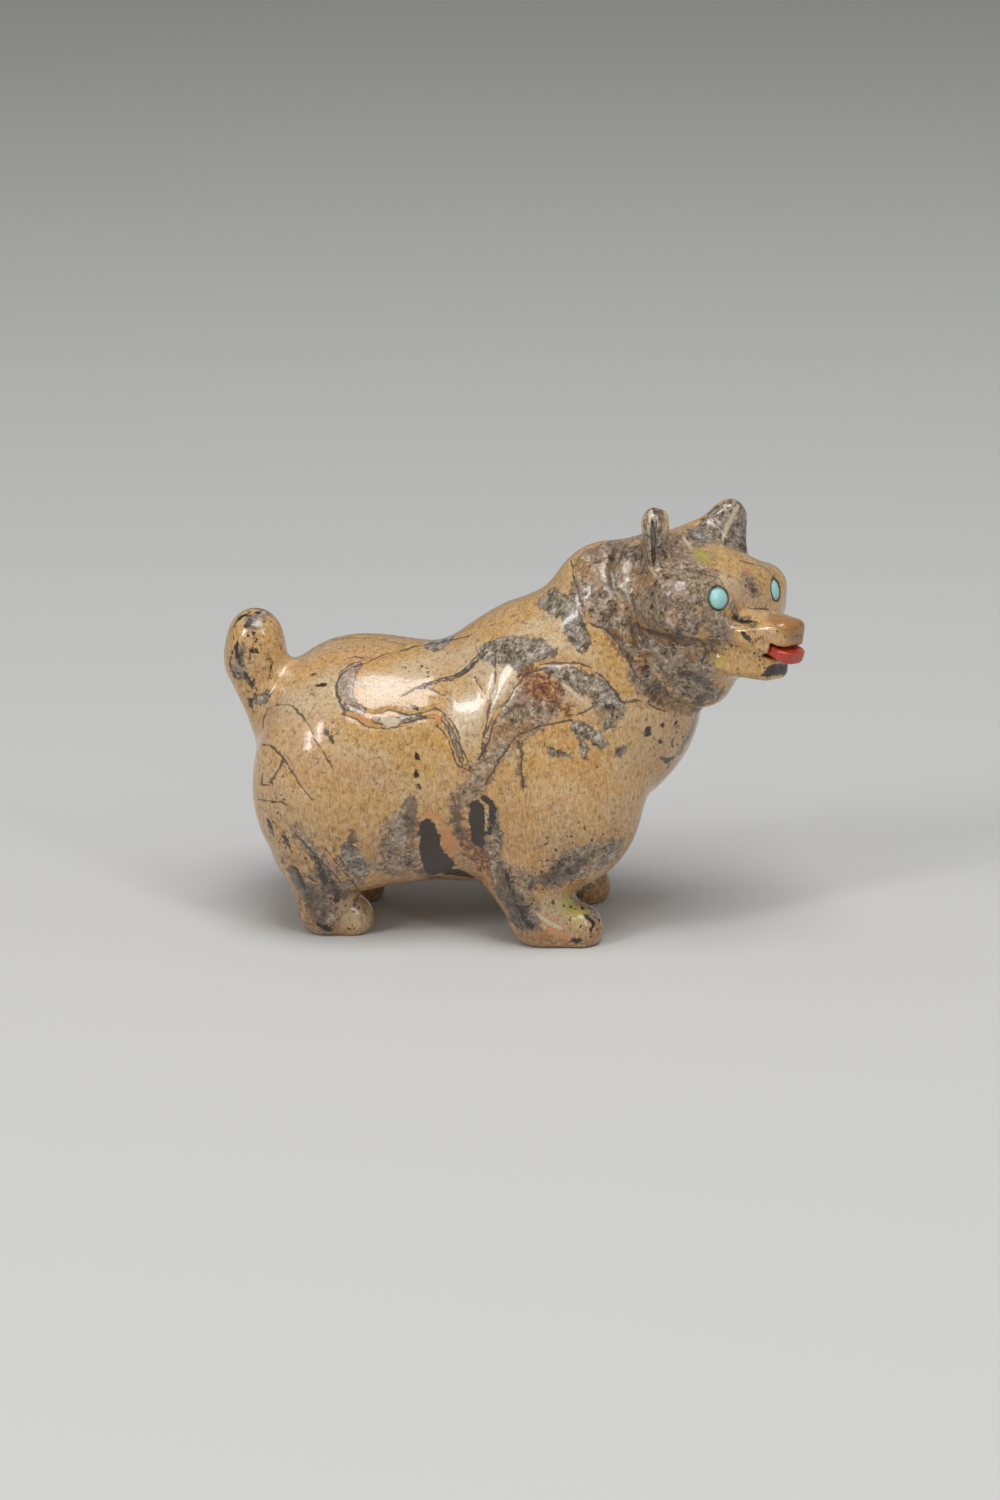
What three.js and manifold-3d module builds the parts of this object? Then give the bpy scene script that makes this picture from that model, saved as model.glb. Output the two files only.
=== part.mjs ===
// A small standing bear carved from one piece of mottled ochre stone, with inlaid eyes and tongue.
// Millimetres, +Z up. The bear faces +X, turns its head towards -Y and stands on its soles at Z = 0.
import * as THREE from "three";
import { mergeVertices } from "three/addons/utils/BufferGeometryUtils.js";
import Module from "manifold-3d";

const wasm = await Module();
wasm.setup();

// Driving dimensions, in millimetres
const LENGTH = 64; // tail to nose
const EYE_DIAMETER = 2.4;
const EYE_DEPTH = 1.3; // how deep the inlay is set, below its rim
const EYE_DOME = 0.4; // how far its polished top rises over its rim
const EYE_PROUD = 0.12; // how far that top stands proud of the stone
const TONGUE_LENGTH = 5.5;
const TONGUE_WIDTH = 4;
const TONGUE_ROOT_WIDTH = 2.6;
const TONGUE_THICKNESS = 1.4;
const TONGUE_CORNER = 1.3; // radius of the corners of its blunt tip
const GLUE_GAP = 0.25; // clearance round each inlay
const SLIT_WIDTH = 0.6; // of the cut down the outer edge of each ear

// The figure's canon: the carving is drawn in parts, tail to nose.
const PARTS_LONG = 63.8;
const PART = LENGTH / PARTS_LONG;

// Distance fields of the carving, in parts: negative inside the stone.
// A lump is an ellipsoid, { at, radii }.
function lump({ at: [cx, cy, cz], radii: [rx, ry, rz] }) {
  return (x, y, z) => {
    const [px, py, pz] = [(x - cx) / rx, (y - cy) / ry, (z - cz) / rz];
    const reach = Math.hypot(px, py, pz);
    const slope = Math.hypot(px / rx, py / ry, pz / rz);
    return slope > 0 ? (reach * (reach - 1)) / slope : -Math.min(rx, ry, rz);
  };
}

// A limb is a tapered bar with round ends, { from, to, radii: [at from, at to] }.
function limb({ from: a, to: b, radii: [ra, rb] }) {
  const along = b.map((v, i) => v - a[i]);
  const long2 = along.reduce((sum, v) => sum + v * v, 0);
  return (x, y, z) => {
    const [px, py, pz] = [x - a[0], y - a[1], z - a[2]];
    const dot = px * along[0] + py * along[1] + pz * along[2];
    const t = Math.min(1, Math.max(0, dot / long2));
    const off = Math.hypot(px - t * along[0], py - t * along[1], pz - t * along[2]);
    return off - (ra + t * (rb - ra));
  };
}

// A wedge is a bar of rectangular section that runs along x, { at, long, start, end, rounding }, its
// half sizes across given at both ends.
function wedge({ at: [cx, cy, cz], long, start, end, rounding }) {
  return (x, y, z) => {
    const t = Math.min(1, Math.max(0, (x - cx) / long));
    const [halfY, halfZ] = start.map((v, i) => v + t * (end[i] - v));
    const over = [
      Math.abs(x - cx - long / 2) - long / 2 + rounding,
      Math.abs(y - cy) - halfY + rounding,
      Math.abs(z - cz) - halfZ + rounding,
    ];
    const outside = Math.hypot(...over.map((v) => Math.max(v, 0)));
    return outside + Math.min(Math.max(...over), 0) - rounding;
  };
}

// A groove is a string of round bars of one radius through the points.
function groove(radius, ...points) {
  const bars = points.slice(1).map((to, i) => limb({ from: points[i], to, radii: [radius, radius] }));
  return (x, y, z) => Math.min(...bars.map((bar) => bar(x, y, z)));
}

// Joins fields with a fillet about as wide as `width`.
function blend(width, ...fields) {
  return (x, y, z) =>
    fields
      .map((field) => field(x, y, z))
      .reduce((a, b) => Math.min(a, b) - (Math.max(width - Math.abs(a - b), 0) ** 2 / width) * 0.25);
}

// Cuts a tool out of a body and rounds the edge by about `width`.
function carve(width, body, tool) {
  return (x, y, z) => {
    const [a, b] = [body(x, y, z), -tool(x, y, z)];
    return Math.max(a, b) + (Math.max(width - Math.abs(a - b), 0) ** 2 / width) * 0.25;
  };
}

// A field drawn in a turned frame: { at, yaw, pitch, roll }, in parts and degrees.
function poseMatrix({ at, yaw = 0, pitch = 0, roll = 0 }) {
  const turn = new THREE.Euler(...[roll, pitch, yaw].map(THREE.MathUtils.degToRad), "ZYX");
  return new THREE.Matrix4().makeRotationFromEuler(turn).setPosition(...at);
}

function posed(pose, field) {
  const m = poseMatrix(pose).invert().elements;
  return (x, y, z) =>
    field(
      m[0] * x + m[4] * y + m[8] * z + m[12],
      m[1] * x + m[5] * y + m[9] * z + m[13],
      m[2] * x + m[6] * y + m[10] * z + m[14],
    );
}

// The same field on both sides of the plane y = 0.
const onBothSides = (field) => (x, y, z) => field(x, Math.abs(y), z);

// Trunk
function trunk() {
  const hips = { at: [-17, 0, 18.6], radii: [11.8, 12.4, 13.6] };
  const barrel = { at: [-6, 0, 18.2], radii: [17, 11.4, 13.4] };
  const withers = { at: [3, 0, 22], radii: [12.4, 11.8, 12.4] };
  const chest = { at: [9, 1, 22.4], radii: [9.8, 8.4, 8] };
  return blend(4, ...[hips, barrel, withers, chest].map(lump));
}

// Legs
function hindLegs() {
  const thigh = { at: [-18, 6, 16.3], radii: [10.4, 7, 11.3] };
  const flank = { at: [-11, 5, 14], radii: [6.6, 5.6, 7.4] };
  const shank = { from: [-21, 5.6, 8.6], to: [-20.8, 5.4, 3.6], radii: [5, 3] };
  const paw = { from: [-20.3, 5.2, 2.1], to: [-17.8, 5.4, 1.6], radii: [3.1, 2.5] };
  return onBothSides(blend(1.6, blend(2.5, lump(thigh), lump(flank)), limb(shank), limb(paw)));
}

function forelegs() {
  const shoulder = { at: [4.4, 5.8, 16.6], radii: [10, 7.2, 11] };
  const forearm = { from: [2, 6.6, 8], to: [3.1, 6.8, 3.6], radii: [5.4, 3.6] };
  const paw = { from: [3.6, 6.8, 2.2], to: [7.4, 7, 1.6], radii: [3.3, 2.8] };
  return onBothSides(blend(1.6, lump(shoulder), limb(forearm), limb(paw)));
}

// Tail: a thick stub that stands up against the rump
function tail() {
  const root = { from: [-26.4, 0, 24], to: [-28.8, 0, 29], radii: [3.4, 3.3] };
  const knob = { at: [-28.7, 0, 31.4], radii: [3.2, 3.2, 3.8] };
  return blend(1.5, limb(root), lump(knob));
}

// Neck
function neck() {
  const crest = { at: [4, 0, 28.6], radii: [9.6, 9, 8.6] };
  const nape = { at: [10, -0.4, 35], radii: [6.8, 7, 8.6] };
  const throat = { at: [12, -0.6, 28], radii: [8.4, 7.4, 8.4] };
  return blend(3.5, ...[crest, nape, throat].map(lump));
}

// Head, drawn in its own frame: x to the nose, y to its left, z up
const HEAD = { at: [19.5, -1.5, 37.2], yaw: -38, pitch: 0, roll: -6 };

// An ear is a stub, turned a little inwards, with a web that slopes to the top of the head.
const EAR = { at: [-1.3, 6.2, 7.3], yaw: -38, pitch: -7, roll: -6 }; // the left one

function ear() {
  const stub = { at: [0, 0, 0], long: 6.4, start: [3.2, 0.5], end: [1.6, 1], rounding: 1 };
  const tip = { at: [0.1, 0, 1.5], radii: [1.2, 1.5, 2] };
  const ridge = { from: [0.7, 0.5, -3], to: [1, -0.3, 2.4], radii: [0.6, 0.5] };
  const web = { from: [0, -5, -1.6], to: [0, -1.2, 1.3], radii: [1.1, 0.9] };
  const root = { from: [0, 0.4, -5.4], to: [0, 0.4, -2.6], radii: [1.3, 0.8] };
  const leaf = posed({ at: [0, 0, -3.6], pitch: -90 }, wedge(stub));
  return posed(EAR, blend(1, leaf, lump(tip), limb(ridge), limb(web), limb(root)));
}

// The plane of the face that holds the eye of one side, turned outwards by yaw
function mask(side, yaw) {
  const plane = { at: [0, 0, 0], long: 6.95, start: [4.2, 3.4], end: [4.2, 3.4], rounding: 2.6 };
  return posed({ at: [0, 4.2 * side, 1.2], yaw: yaw * side }, wedge(plane));
}

function head() {
  const skull = { at: [-1.6, 0, 1.4], radii: [7.8, 7.6, 5.6] };
  const crown = { from: [-2.2, -5, 6.4], to: [-2.2, 5, 6.4], radii: [1.3, 1.3] };
  const ruff = { at: [0, 0, 0], radii: [2, 8.2, 7] };
  const forehead = { at: [3, 0, 2], radii: [4.4, 6.4, 4.2] };
  const cheek = { at: [1.2, 4.6, -0.2], radii: [6, 3.6, 3.2] };
  const nose = { at: [6.5, 0, -1.5], long: 7.4, start: [4.4, 0.6], end: [2, 2.1], rounding: 0.8 };
  const ridge = { at: [10.4, 0, -0.4], radii: [3.6, 2.4, 1.5] };
  const jaw = { at: [4, 0, -4.5], long: 8.4, start: [4.4, 1.8], end: [1.9, 1.6], rounding: 1 };
  const jowl = { at: [1, 0, -4.8], radii: [6.2, 6.2, 3.8] };
  const wattle = { at: [1.4, -0.3, -7.9], radii: [4, 3.8, 3.2] };
  const collar = posed({ at: [-4.6, 0, 0], pitch: -20 }, lump(ruff));
  const cheeks = onBothSides(lump(cheek));
  const face = blend(2, lump(skull), limb(crown), lump(forehead), collar, mask(1, 12), mask(-1, 20), cheeks);
  const muzzle = blend(1.2, wedge(nose), lump(ridge));
  const underside = blend(1.4, wedge(jaw), lump(jowl), lump(wattle));
  return blend(1.4, blend(1.4, face, muzzle), underside, onBothSides(ear()));
}

// The grooves that set off cheek, mouth, wattle and ruff, given for the left side
function folds() {
  const grooves = [
    groove(0.6, [-1, 8.2, -2.6], [2.2, 8.6, -2.6], [4.6, 8.2, -2.3], [5.8, 6, -3], [6.6, 4.2, -3.6]),
    groove(0.4, [6.6, 4.2, -3.6], [8.4, 3.8, -3.2]),
    groove(0.7, [0.6, 6.4, -8.8], [1.8, 4.4, -10.4], [2.6, 2, -11.5], [2.8, 0, -11.8]),
    groove(0.5, [-6.4, 5.4, 6.2], [-4.8, 8.6, 3.6], [-3.6, 9.2, 2], [-2, 8.8, 0.6], [-1.2, 8, -2.8]),
  ];
  return onBothSides((x, y, z) => Math.min(...grooves.map((field) => field(x, y, z))));
}

const body = blend(
  2,
  blend(4.5, trunk(), neck()),
  hindLegs(),
  forelegs(),
  tail(),
  posed(HEAD, head()),
);
const figure = carve(0.6, body, posed(HEAD, folds()));

// Polygoniser: one vertex in each grid cell that the surface crosses, one quad round each crossed edge.
// The grid's lines are closer together where the carving is finer.
function gridLines(stops) {
  const lines = [stops[0].at];
  for (const [i, { at, step }] of stops.slice(0, -1).entries()) {
    const span = stops[i + 1].at - at;
    const count = Math.max(1, Math.round(span / step));
    for (let k = 1; k <= count; k++) lines.push(at + (span * k) / count);
  }
  return lines;
}

function polygonise(field, xs, ys, zs) {
  const [nx, ny, nz] = [xs.length, ys.length, zs.length];
  const node = (i, j, k) => (i * ny + j) * nz + k;
  const value = new Float64Array(nx * ny * nz);
  for (let i = 0; i < nx; i++)
    for (let j = 0; j < ny; j++)
      for (let k = 0; k < nz; k++) value[node(i, j, k)] = field(xs[i], ys[j], zs[k]);

  const vertexOf = new Map();
  const points = [];
  const corners = [0, 1, 2, 3, 4, 5, 6, 7].map((c) => [c & 1, (c >> 1) & 1, (c >> 2) & 1]);
  const edges = corners.flatMap((c, a) =>
    [1, 2, 4].filter((bit) => !(a & bit)).map((bit) => [a, a | bit]),
  );
  const vertex = (i, j, k) => {
    const cell = node(i, j, k);
    if (vertexOf.has(cell)) return vertexOf.get(cell);
    const sum = new THREE.Vector3();
    let crossings = 0;
    const at = ([a, b, c]) => new THREE.Vector3(xs[i + a], ys[j + b], zs[k + c]);
    for (const [a, b] of edges) {
      const va = value[node(i + corners[a][0], j + corners[a][1], k + corners[a][2])];
      const vb = value[node(i + corners[b][0], j + corners[b][1], k + corners[b][2])];
      if (va < 0 === vb < 0) continue;
      sum.add(at(corners[a]).lerp(at(corners[b]), va / (va - vb)));
      crossings++;
    }
    points.push(sum.divideScalar(crossings));
    vertexOf.set(cell, points.length - 1);
    return points.length - 1;
  };

  const quads = [];
  const steps = [
    [1, 0, 0],
    [0, 1, 0],
    [0, 0, 1],
  ];
  for (let i = 1; i < nx - 1; i++)
    for (let j = 1; j < ny - 1; j++)
      for (let k = 1; k < nz - 1; k++)
        for (let axis = 0; axis < 3; axis++) {
          const [u, v] = [steps[(axis + 1) % 3], steps[(axis + 2) % 3]];
          const [a, b, c] = steps[axis];
          const inside = value[node(i, j, k)] < 0;
          if (inside === value[node(i + a, j + b, k + c)] < 0) continue;
          const ring = [
            vertex(i - u[0] - v[0], j - u[1] - v[1], k - u[2] - v[2]),
            vertex(i - v[0], j - v[1], k - v[2]),
            vertex(i, j, k),
            vertex(i - u[0], j - u[1], k - u[2]),
          ];
          quads.push(inside ? ring : ring.reverse());
        }
  return { points, quads };
}

// Draws each point to the middle of its neighbours along the surface, then back onto the surface.
function relax(field, { points, quads }, rounds) {
  const neighbours = points.map(() => new Set());
  for (const quad of quads)
    quad.forEach((p, i) => {
      neighbours[p].add(quad[(i + 1) % 4]);
      neighbours[p].add(quad[(i + 3) % 4]);
    });
  for (let round = 0; round < rounds; round++) {
    const moved = points.map((p, i) => {
      const middle = new THREE.Vector3();
      for (const n of neighbours[i]) middle.add(points[n]);
      return middle.divideScalar(neighbours[i].size).lerp(p, 0.5);
    });
    moved.forEach((p, i) => points[i].copy(ontoSurface(field, p)));
  }
}

const PROBE = 0.02; // step of the numerical gradient, in parts

function gradient(field, { x, y, z }) {
  return new THREE.Vector3(
    field(x + PROBE, y, z) - field(x - PROBE, y, z),
    field(x, y + PROBE, z) - field(x, y - PROBE, z),
    field(x, y, z + PROBE) - field(x, y, z - PROBE),
  ).divideScalar(2 * PROBE);
}

function ontoSurface(field, point) {
  const p = point.clone();
  for (let i = 0; i < 3; i++) {
    const g = gradient(field, p);
    p.addScaledVector(g, -field(p.x, p.y, p.z) / Math.max(g.lengthSq(), 0.25));
  }
  return p;
}

// Splits each quad along its shorter diagonal.
function triangulate({ points, quads }) {
  const geometry = new THREE.BufferGeometry().setFromPoints(points);
  const index = quads.flatMap(([a, b, c, d]) =>
    points[a].distanceTo(points[c]) < points[b].distanceTo(points[d])
      ? [a, b, c, a, c, d]
      : [a, b, d, b, c, d],
  );
  geometry.setIndex(index);
  return geometry;
}

// Closed geometry to a solid for cutting, and back
function solidOf(geometry) {
  const bare = geometry.clone();
  bare.deleteAttribute("normal");
  bare.deleteAttribute("uv");
  const merged = mergeVertices(bare, 1e-4);
  return new wasm.Manifold(
    new wasm.Mesh({
      numProp: 3,
      vertProperties: merged.attributes.position.array,
      triVerts: new Uint32Array(merged.index.array),
    }),
  );
}

function geometryOf(solid) {
  const { vertProperties, triVerts } = solid.getMesh();
  const geometry = new THREE.BufferGeometry();
  geometry.setAttribute("position", new THREE.BufferAttribute(vertProperties, 3));
  geometry.setIndex(new THREE.BufferAttribute(triVerts, 1));
  return geometry;
}

// How far the grid reaches and where its lines change their spacing, in parts
const REACH = { back: -35, chest: 13, front: 36, side: 17, under: -3, knee: 6, top: 50 };
const HEAD_REACH = { right: -12, left: 7, low: 27, ear: 44 };
const GRID = {
  x: [{ at: REACH.back, step: 2.1 }, { at: REACH.chest, step: 1.05 }, { at: REACH.front }],
  y: [
    { at: -REACH.side, step: 1.8 },
    { at: HEAD_REACH.right, step: 1.15 },
    { at: HEAD_REACH.left, step: 1.8 },
    { at: REACH.side },
  ],
  z: [
    { at: REACH.under, step: 1.25 },
    { at: REACH.knee, step: 2.1 },
    { at: HEAD_REACH.low, step: 1.1 },
    { at: HEAD_REACH.ear, step: 0.85 },
    { at: REACH.top },
  ],
};
const RELAXING = 4; // rounds

const carving = polygonise(figure, gridLines(GRID.x), gridLines(GRID.y), gridLines(GRID.z));
relax(figure, carving, RELAXING);
const rough = triangulate(carving).scale(PART, PART, PART);

// The soles are ground flat at Z = 0.
const GROUND = 20; // thickness of what is ground away, more than the paws reach down
const ground = new THREE.BoxGeometry(3 * LENGTH, 3 * LENGTH, GROUND).translate(0, 0, -GROUND / 2);

// Eyes: domed discs of turquoise, each in a round socket square to the stone where it looks out
const EYE_LINE = { from: [2, 4.3, 2.2], towards: [1, 0.12, 0.04] }; // in the head's frame, left side
const headInParts = poseMatrix(HEAD);

function surfaceAlong(field, from, towards) {
  let [inner, outer] = [0, LENGTH / PART];
  const at = (t) => from.clone().addScaledVector(towards, t);
  for (let i = 0; i < 40; i++) {
    const middle = (inner + outer) / 2;
    const p = at(middle);
    if (field(p.x, p.y, p.z) < 0) inner = middle;
    else outer = middle;
  }
  return at(inner);
}

function eyeFrame(side) {
  const [from, towards] = [EYE_LINE.from, EYE_LINE.towards].map(
    ([x, y, z]) => new THREE.Vector3(x, side * y, z),
  );
  from.applyMatrix4(headInParts);
  towards.transformDirection(headInParts);
  const seat = surfaceAlong(figure, from, towards);
  const outwards = gradient(figure, seat).normalize();
  const turn = new THREE.Quaternion().setFromUnitVectors(new THREE.Vector3(0, 1, 0), outwards);
  return new THREE.Matrix4().compose(
    seat.multiplyScalar(PART),
    turn,
    new THREE.Vector3(1, 1, 1),
  );
}

const ROUND = 24; // sides of a turned inlay

function eyeInlay() {
  const rim = EYE_PROUD - EYE_DOME;
  const radius = EYE_DIAMETER / 2;
  const dome = [1, 2, 3].map((k) => {
    const r = radius * Math.cos((k * Math.PI) / 6);
    return new THREE.Vector2(k === 3 ? 0 : r, rim + EYE_DOME * (1 - (r / radius) ** 2));
  });
  const profile = [
    new THREE.Vector2(0, rim - EYE_DEPTH),
    new THREE.Vector2(radius, rim - EYE_DEPTH),
    new THREE.Vector2(radius, rim),
    ...dome,
  ];
  return new THREE.LatheGeometry(profile, ROUND);
}

function eyeSocket() {
  const floor = EYE_PROUD - EYE_DOME - EYE_DEPTH - GLUE_GAP;
  const height = EYE_DIAMETER - floor;
  const radius = EYE_DIAMETER / 2 + GLUE_GAP;
  return new THREE.CylinderGeometry(radius, radius, height, ROUND).translate(0, floor + height / 2, 0);
}

// Tongue: a slab of red coral with a round tip, lying on the lower jaw
const MOUTH = { at: [9.2, 0, -1.8], pitch: 15 }; // the tongue's root, in the head's frame

function tongueOutline(grow, reach) {
  const [root, width] = [TONGUE_ROOT_WIDTH / 2 + grow, TONGUE_WIDTH / 2 + grow];
  const outline = new THREE.Shape();
  outline.moveTo(-grow, -root);
  outline.lineTo(TONGUE_LENGTH / 2, -width);
  outline.absarc(reach - TONGUE_CORNER, TONGUE_CORNER - width, TONGUE_CORNER, -Math.PI / 2, 0, false);
  outline.absarc(reach - TONGUE_CORNER, width - TONGUE_CORNER, TONGUE_CORNER, 0, Math.PI / 2, false);
  outline.lineTo(TONGUE_LENGTH / 2, width);
  outline.lineTo(-grow, root);
  return outline;
}

function tongueSlab(grow, reach) {
  const thickness = TONGUE_THICKNESS + 2 * grow;
  const options = { depth: thickness, bevelEnabled: false, curveSegments: 6 };
  return new THREE.ExtrudeGeometry(tongueOutline(grow, reach), options).translate(0, 0, -thickness / 2);
}

const inMillimetres = (pose) => poseMatrix({ ...pose, at: pose.at.map((v) => v * PART) });
const mouthFrame = inMillimetres(HEAD).multiply(inMillimetres(MOUTH));
const tongue = tongueSlab(0, TONGUE_LENGTH).applyMatrix4(mouthFrame);
const mouth = tongueSlab(GLUE_GAP, 2 * TONGUE_LENGTH).applyMatrix4(mouthFrame);

const eyes = [
  { name: "eye_left", frame: eyeFrame(1) },
  { name: "eye_right", frame: eyeFrame(-1) },
];

// Ears: a slit down the outer edge of each
const SLIT = { at: [0, 2.3, 0], deep: 1.7, high: 4 }; // half-sizes, in parts, in the ear's frame

function earSlit(side) {
  const [x, y, z] = EAR.at;
  const [yaw, roll] = [side * EAR.yaw, side * EAR.roll];
  const ear = poseMatrix({ at: [x, side * y, z], yaw, pitch: EAR.pitch, roll });
  return new THREE.SphereGeometry(1, 12, 8)
    .scale(SLIT_WIDTH / PART / 2, SLIT.deep, SLIT.high)
    .translate(SLIT.at[0], side * SLIT.at[1], SLIT.at[2])
    .applyMatrix4(headInParts.clone().multiply(ear))
    .scale(PART, PART, PART);
}

const sockets = eyes.map(({ frame }) => eyeSocket().applyMatrix4(frame));
const cutters = [ground, mouth, ...sockets, earSlit(1), earSlit(-1)];
const stone = cutters.reduce((solid, cutter) => solid.subtract(solidOf(cutter)), solidOf(rough));

// Materials
const ochreStone = new THREE.MeshStandardMaterial({ color: 0xb98a55, roughness: 0.3, metalness: 0 });
const turquoise = new THREE.MeshStandardMaterial({ color: 0x66c4bf, roughness: 0.25, metalness: 0 });
const coral = new THREE.MeshStandardMaterial({ color: 0xb5432c, roughness: 0.25, metalness: 0 });

function piece(name, geometry, material) {
  const mesh = new THREE.Mesh(geometry, material);
  mesh.name = name;
  return mesh;
}

const bear = new THREE.Group();
bear.add(piece("stone_bear", geometryOf(stone), ochreStone));
for (const { name, frame } of eyes) bear.add(piece(name, eyeInlay().applyMatrix4(frame), turquoise));
bear.add(piece("tongue", tongue, coral));

// The origin lies under the middle of the figure's length and width.
const box = new THREE.Box3().setFromObject(bear);
bear.position.set(-(box.min.x + box.max.x) / 2, -(box.min.y + box.max.y) / 2, 0);

export default bear;
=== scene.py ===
"""A small standing bear carved from one piece of mottled ochre stone, with turquoise eyes and a red
coral tongue set into it. Lengths are millimetres until a mesh is made, and the object faces +X."""

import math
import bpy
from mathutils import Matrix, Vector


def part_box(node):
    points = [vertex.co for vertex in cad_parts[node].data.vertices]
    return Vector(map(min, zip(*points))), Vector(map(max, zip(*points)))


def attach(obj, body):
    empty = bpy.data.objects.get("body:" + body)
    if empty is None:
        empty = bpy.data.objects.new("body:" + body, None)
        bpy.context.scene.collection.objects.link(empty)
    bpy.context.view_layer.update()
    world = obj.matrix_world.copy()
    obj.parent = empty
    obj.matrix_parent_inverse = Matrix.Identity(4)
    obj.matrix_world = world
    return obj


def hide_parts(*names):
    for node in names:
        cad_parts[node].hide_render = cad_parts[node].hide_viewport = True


bl_info = {
    "name": "Carved Stone Bear",
    "version": (1, 0, 0),
    "blender": (4, 5, 0),
    "location": "View3D > Sidebar > Stone Bear",
    "description": "Builds a small carved stone bear with inlaid eyes and tongue",
    "category": "Add Mesh",
}

import bmesh
import bpy
import numpy as np
from bpy.props import FloatProperty, FloatVectorProperty, PointerProperty
from mathutils import Euler, Matrix, Vector
from mathutils.bvhtree import BVHTree

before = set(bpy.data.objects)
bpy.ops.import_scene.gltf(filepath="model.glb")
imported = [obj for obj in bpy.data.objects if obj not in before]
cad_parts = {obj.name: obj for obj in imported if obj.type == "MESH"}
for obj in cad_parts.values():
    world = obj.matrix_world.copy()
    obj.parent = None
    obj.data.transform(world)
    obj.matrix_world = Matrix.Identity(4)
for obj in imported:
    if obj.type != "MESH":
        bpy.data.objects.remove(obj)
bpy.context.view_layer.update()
MM = 0.001  # metres in a millimetre


def tone(red, green, blue):
    """A colour given as seen on a screen, 0 to 255, as Blender's linear colour."""
    seen = (c / 255 for c in (red, green, blue))
    return tuple(c / 12.92 if c <= 0.04045 else ((c + 0.055) / 1.055) ** 2.4 for c in seen)


# The carver's forms: distance fields in millimetres, negative inside the stone, of (n, 3) points
def lump(at, radii):
    """An ellipsoid."""
    at, radii = np.array(at, float), np.array(radii, float)

    def field(p):
        q = (p - at) / radii
        reach = np.sqrt((q * q).sum(1))
        slope = np.sqrt(((q / radii) ** 2).sum(1))
        return reach * (reach - 1) / np.maximum(slope, 1e-6)

    return field


def limb(start, end, radii):
    """A tapered bar with round ends."""
    start, end = np.array(start, float), np.array(end, float)
    along = end - start
    thick, taper = radii[0], radii[1] - radii[0]

    def field(p):
        q = p - start
        t = np.clip(q @ along / (along @ along), 0, 1)
        off = q - t[:, None] * along
        return np.sqrt((off * off).sum(1)) - (thick + t * taper)

    return field


def wedge(at, long, start, end, rounding):
    """A bar of rectangular section that runs along x, its half sizes across given at both ends."""
    at, start, end = (np.array(v, float) for v in (at, start, end))

    def field(p):
        q = p - at
        half = start + np.clip(q[:, :1] / long, 0, 1) * (end - start)
        over = np.abs(q - (long / 2, 0, 0)) - np.hstack([np.full_like(q[:, :1], long / 2), half]) + rounding
        return np.sqrt((np.maximum(over, 0) ** 2).sum(1)) + np.minimum(over.max(1), 0) - rounding

    return field


def blend(width, *fields):
    """Joins forms with a fillet about as wide as width."""

    def field(p):
        joined = fields[0](p)
        for other in fields[1:]:
            b = other(p)
            joined = np.minimum(joined, b) - np.maximum(width - np.abs(joined - b), 0) ** 2 / width / 4
        return joined

    return field


def cut(width, body, tool):
    """Takes tool out of body and rounds the edge by about width."""

    def field(p):
        a, b = body(p), -tool(p)
        return np.maximum(a, b) + np.maximum(width - np.abs(a - b), 0) ** 2 / width / 4

    return field


def groove(radius, *points):
    """A string of round bars through the points, to be cut out of a body."""
    return together(*(limb(a, b, (radius, radius)) for a, b in zip(points, points[1:])))


def together(*forms):
    """Several forms as one, with no fillet."""
    return lambda p: np.min([form(p) for form in forms], axis=0)


def pose_matrix(at, yaw=0, pitch=0, roll=0):
    """A place and a turn in degrees."""
    turn = Euler([math.radians(v) for v in (roll, pitch, yaw)], "XYZ").to_matrix().to_4x4()
    return np.array(Matrix.Translation(at) @ turn)


def into(matrix, p):
    """Points in the frame that matrix places."""
    return (p - matrix[:3, 3]) @ matrix[:3, :3]


def posed(matrix, form):
    """A form set in the frame that matrix places."""
    return lambda p: form(into(matrix, p))


def on_both_sides(form):
    """A form of the left side, and its mirror image on the right."""
    return lambda p: form(np.stack([p[:, 0], np.abs(p[:, 1]), p[:, 2]], 1))


def trunk():
    hips = lump((-17, 0, 18.6), (11.8, 12.4, 13.6))
    barrel = lump((-6, 0, 18.2), (17, 11.4, 13.4))
    withers = lump((3, 0, 22), (12.4, 11.8, 12.4))
    chest = lump((9, 1, 22.4), (9.8, 8.4, 8))
    return blend(4, hips, barrel, withers, chest)


def hind_legs():
    thigh = lump((-18, 6, 16.3), (10.4, 7, 11.3))
    flank = lump((-11, 5, 14), (6.6, 5.6, 7.4))
    shank = limb((-21, 5.6, 8.6), (-20.8, 5.4, 3.6), (5, 3))
    paw = limb((-20.3, 5.2, 2.1), (-17.8, 5.4, 1.6), (3.1, 2.5))
    return on_both_sides(blend(1.6, blend(2.5, thigh, flank), shank, paw))


def forelegs():
    shoulder = lump((4.4, 5.8, 16.6), (10, 7.2, 11))
    forearm = limb((2, 6.6, 8), (3.1, 6.8, 3.6), (5.4, 3.6))
    paw = limb((3.6, 6.8, 2.2), (7.4, 7, 1.6), (3.3, 2.8))
    return on_both_sides(blend(1.6, shoulder, forearm, paw))


def tail():
    root = limb((-26.4, 0, 24), (-28.8, 0, 29), (3.4, 3.3))
    knob = lump((-28.7, 0, 31.4), (3.2, 3.2, 3.8))
    return blend(1.5, root, knob)


def neck():
    crest = lump((4, 0, 28.6), (9.6, 9, 8.6))
    nape = lump((10, -0.4, 35), (6.8, 7, 8.6))
    throat = lump((12, -0.6, 28), (8.4, 7.4, 8.4))
    return blend(3.5, crest, nape, throat)


HEAD = pose_matrix((19.5, -1.5, 37.2), yaw=-38, roll=-6)  # x to the nose, y to the bear's left
EAR = pose_matrix((-1.3, 6.2, 7.3), yaw=-38, pitch=-7, roll=-6)  # in the head's frame, the left one


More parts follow.
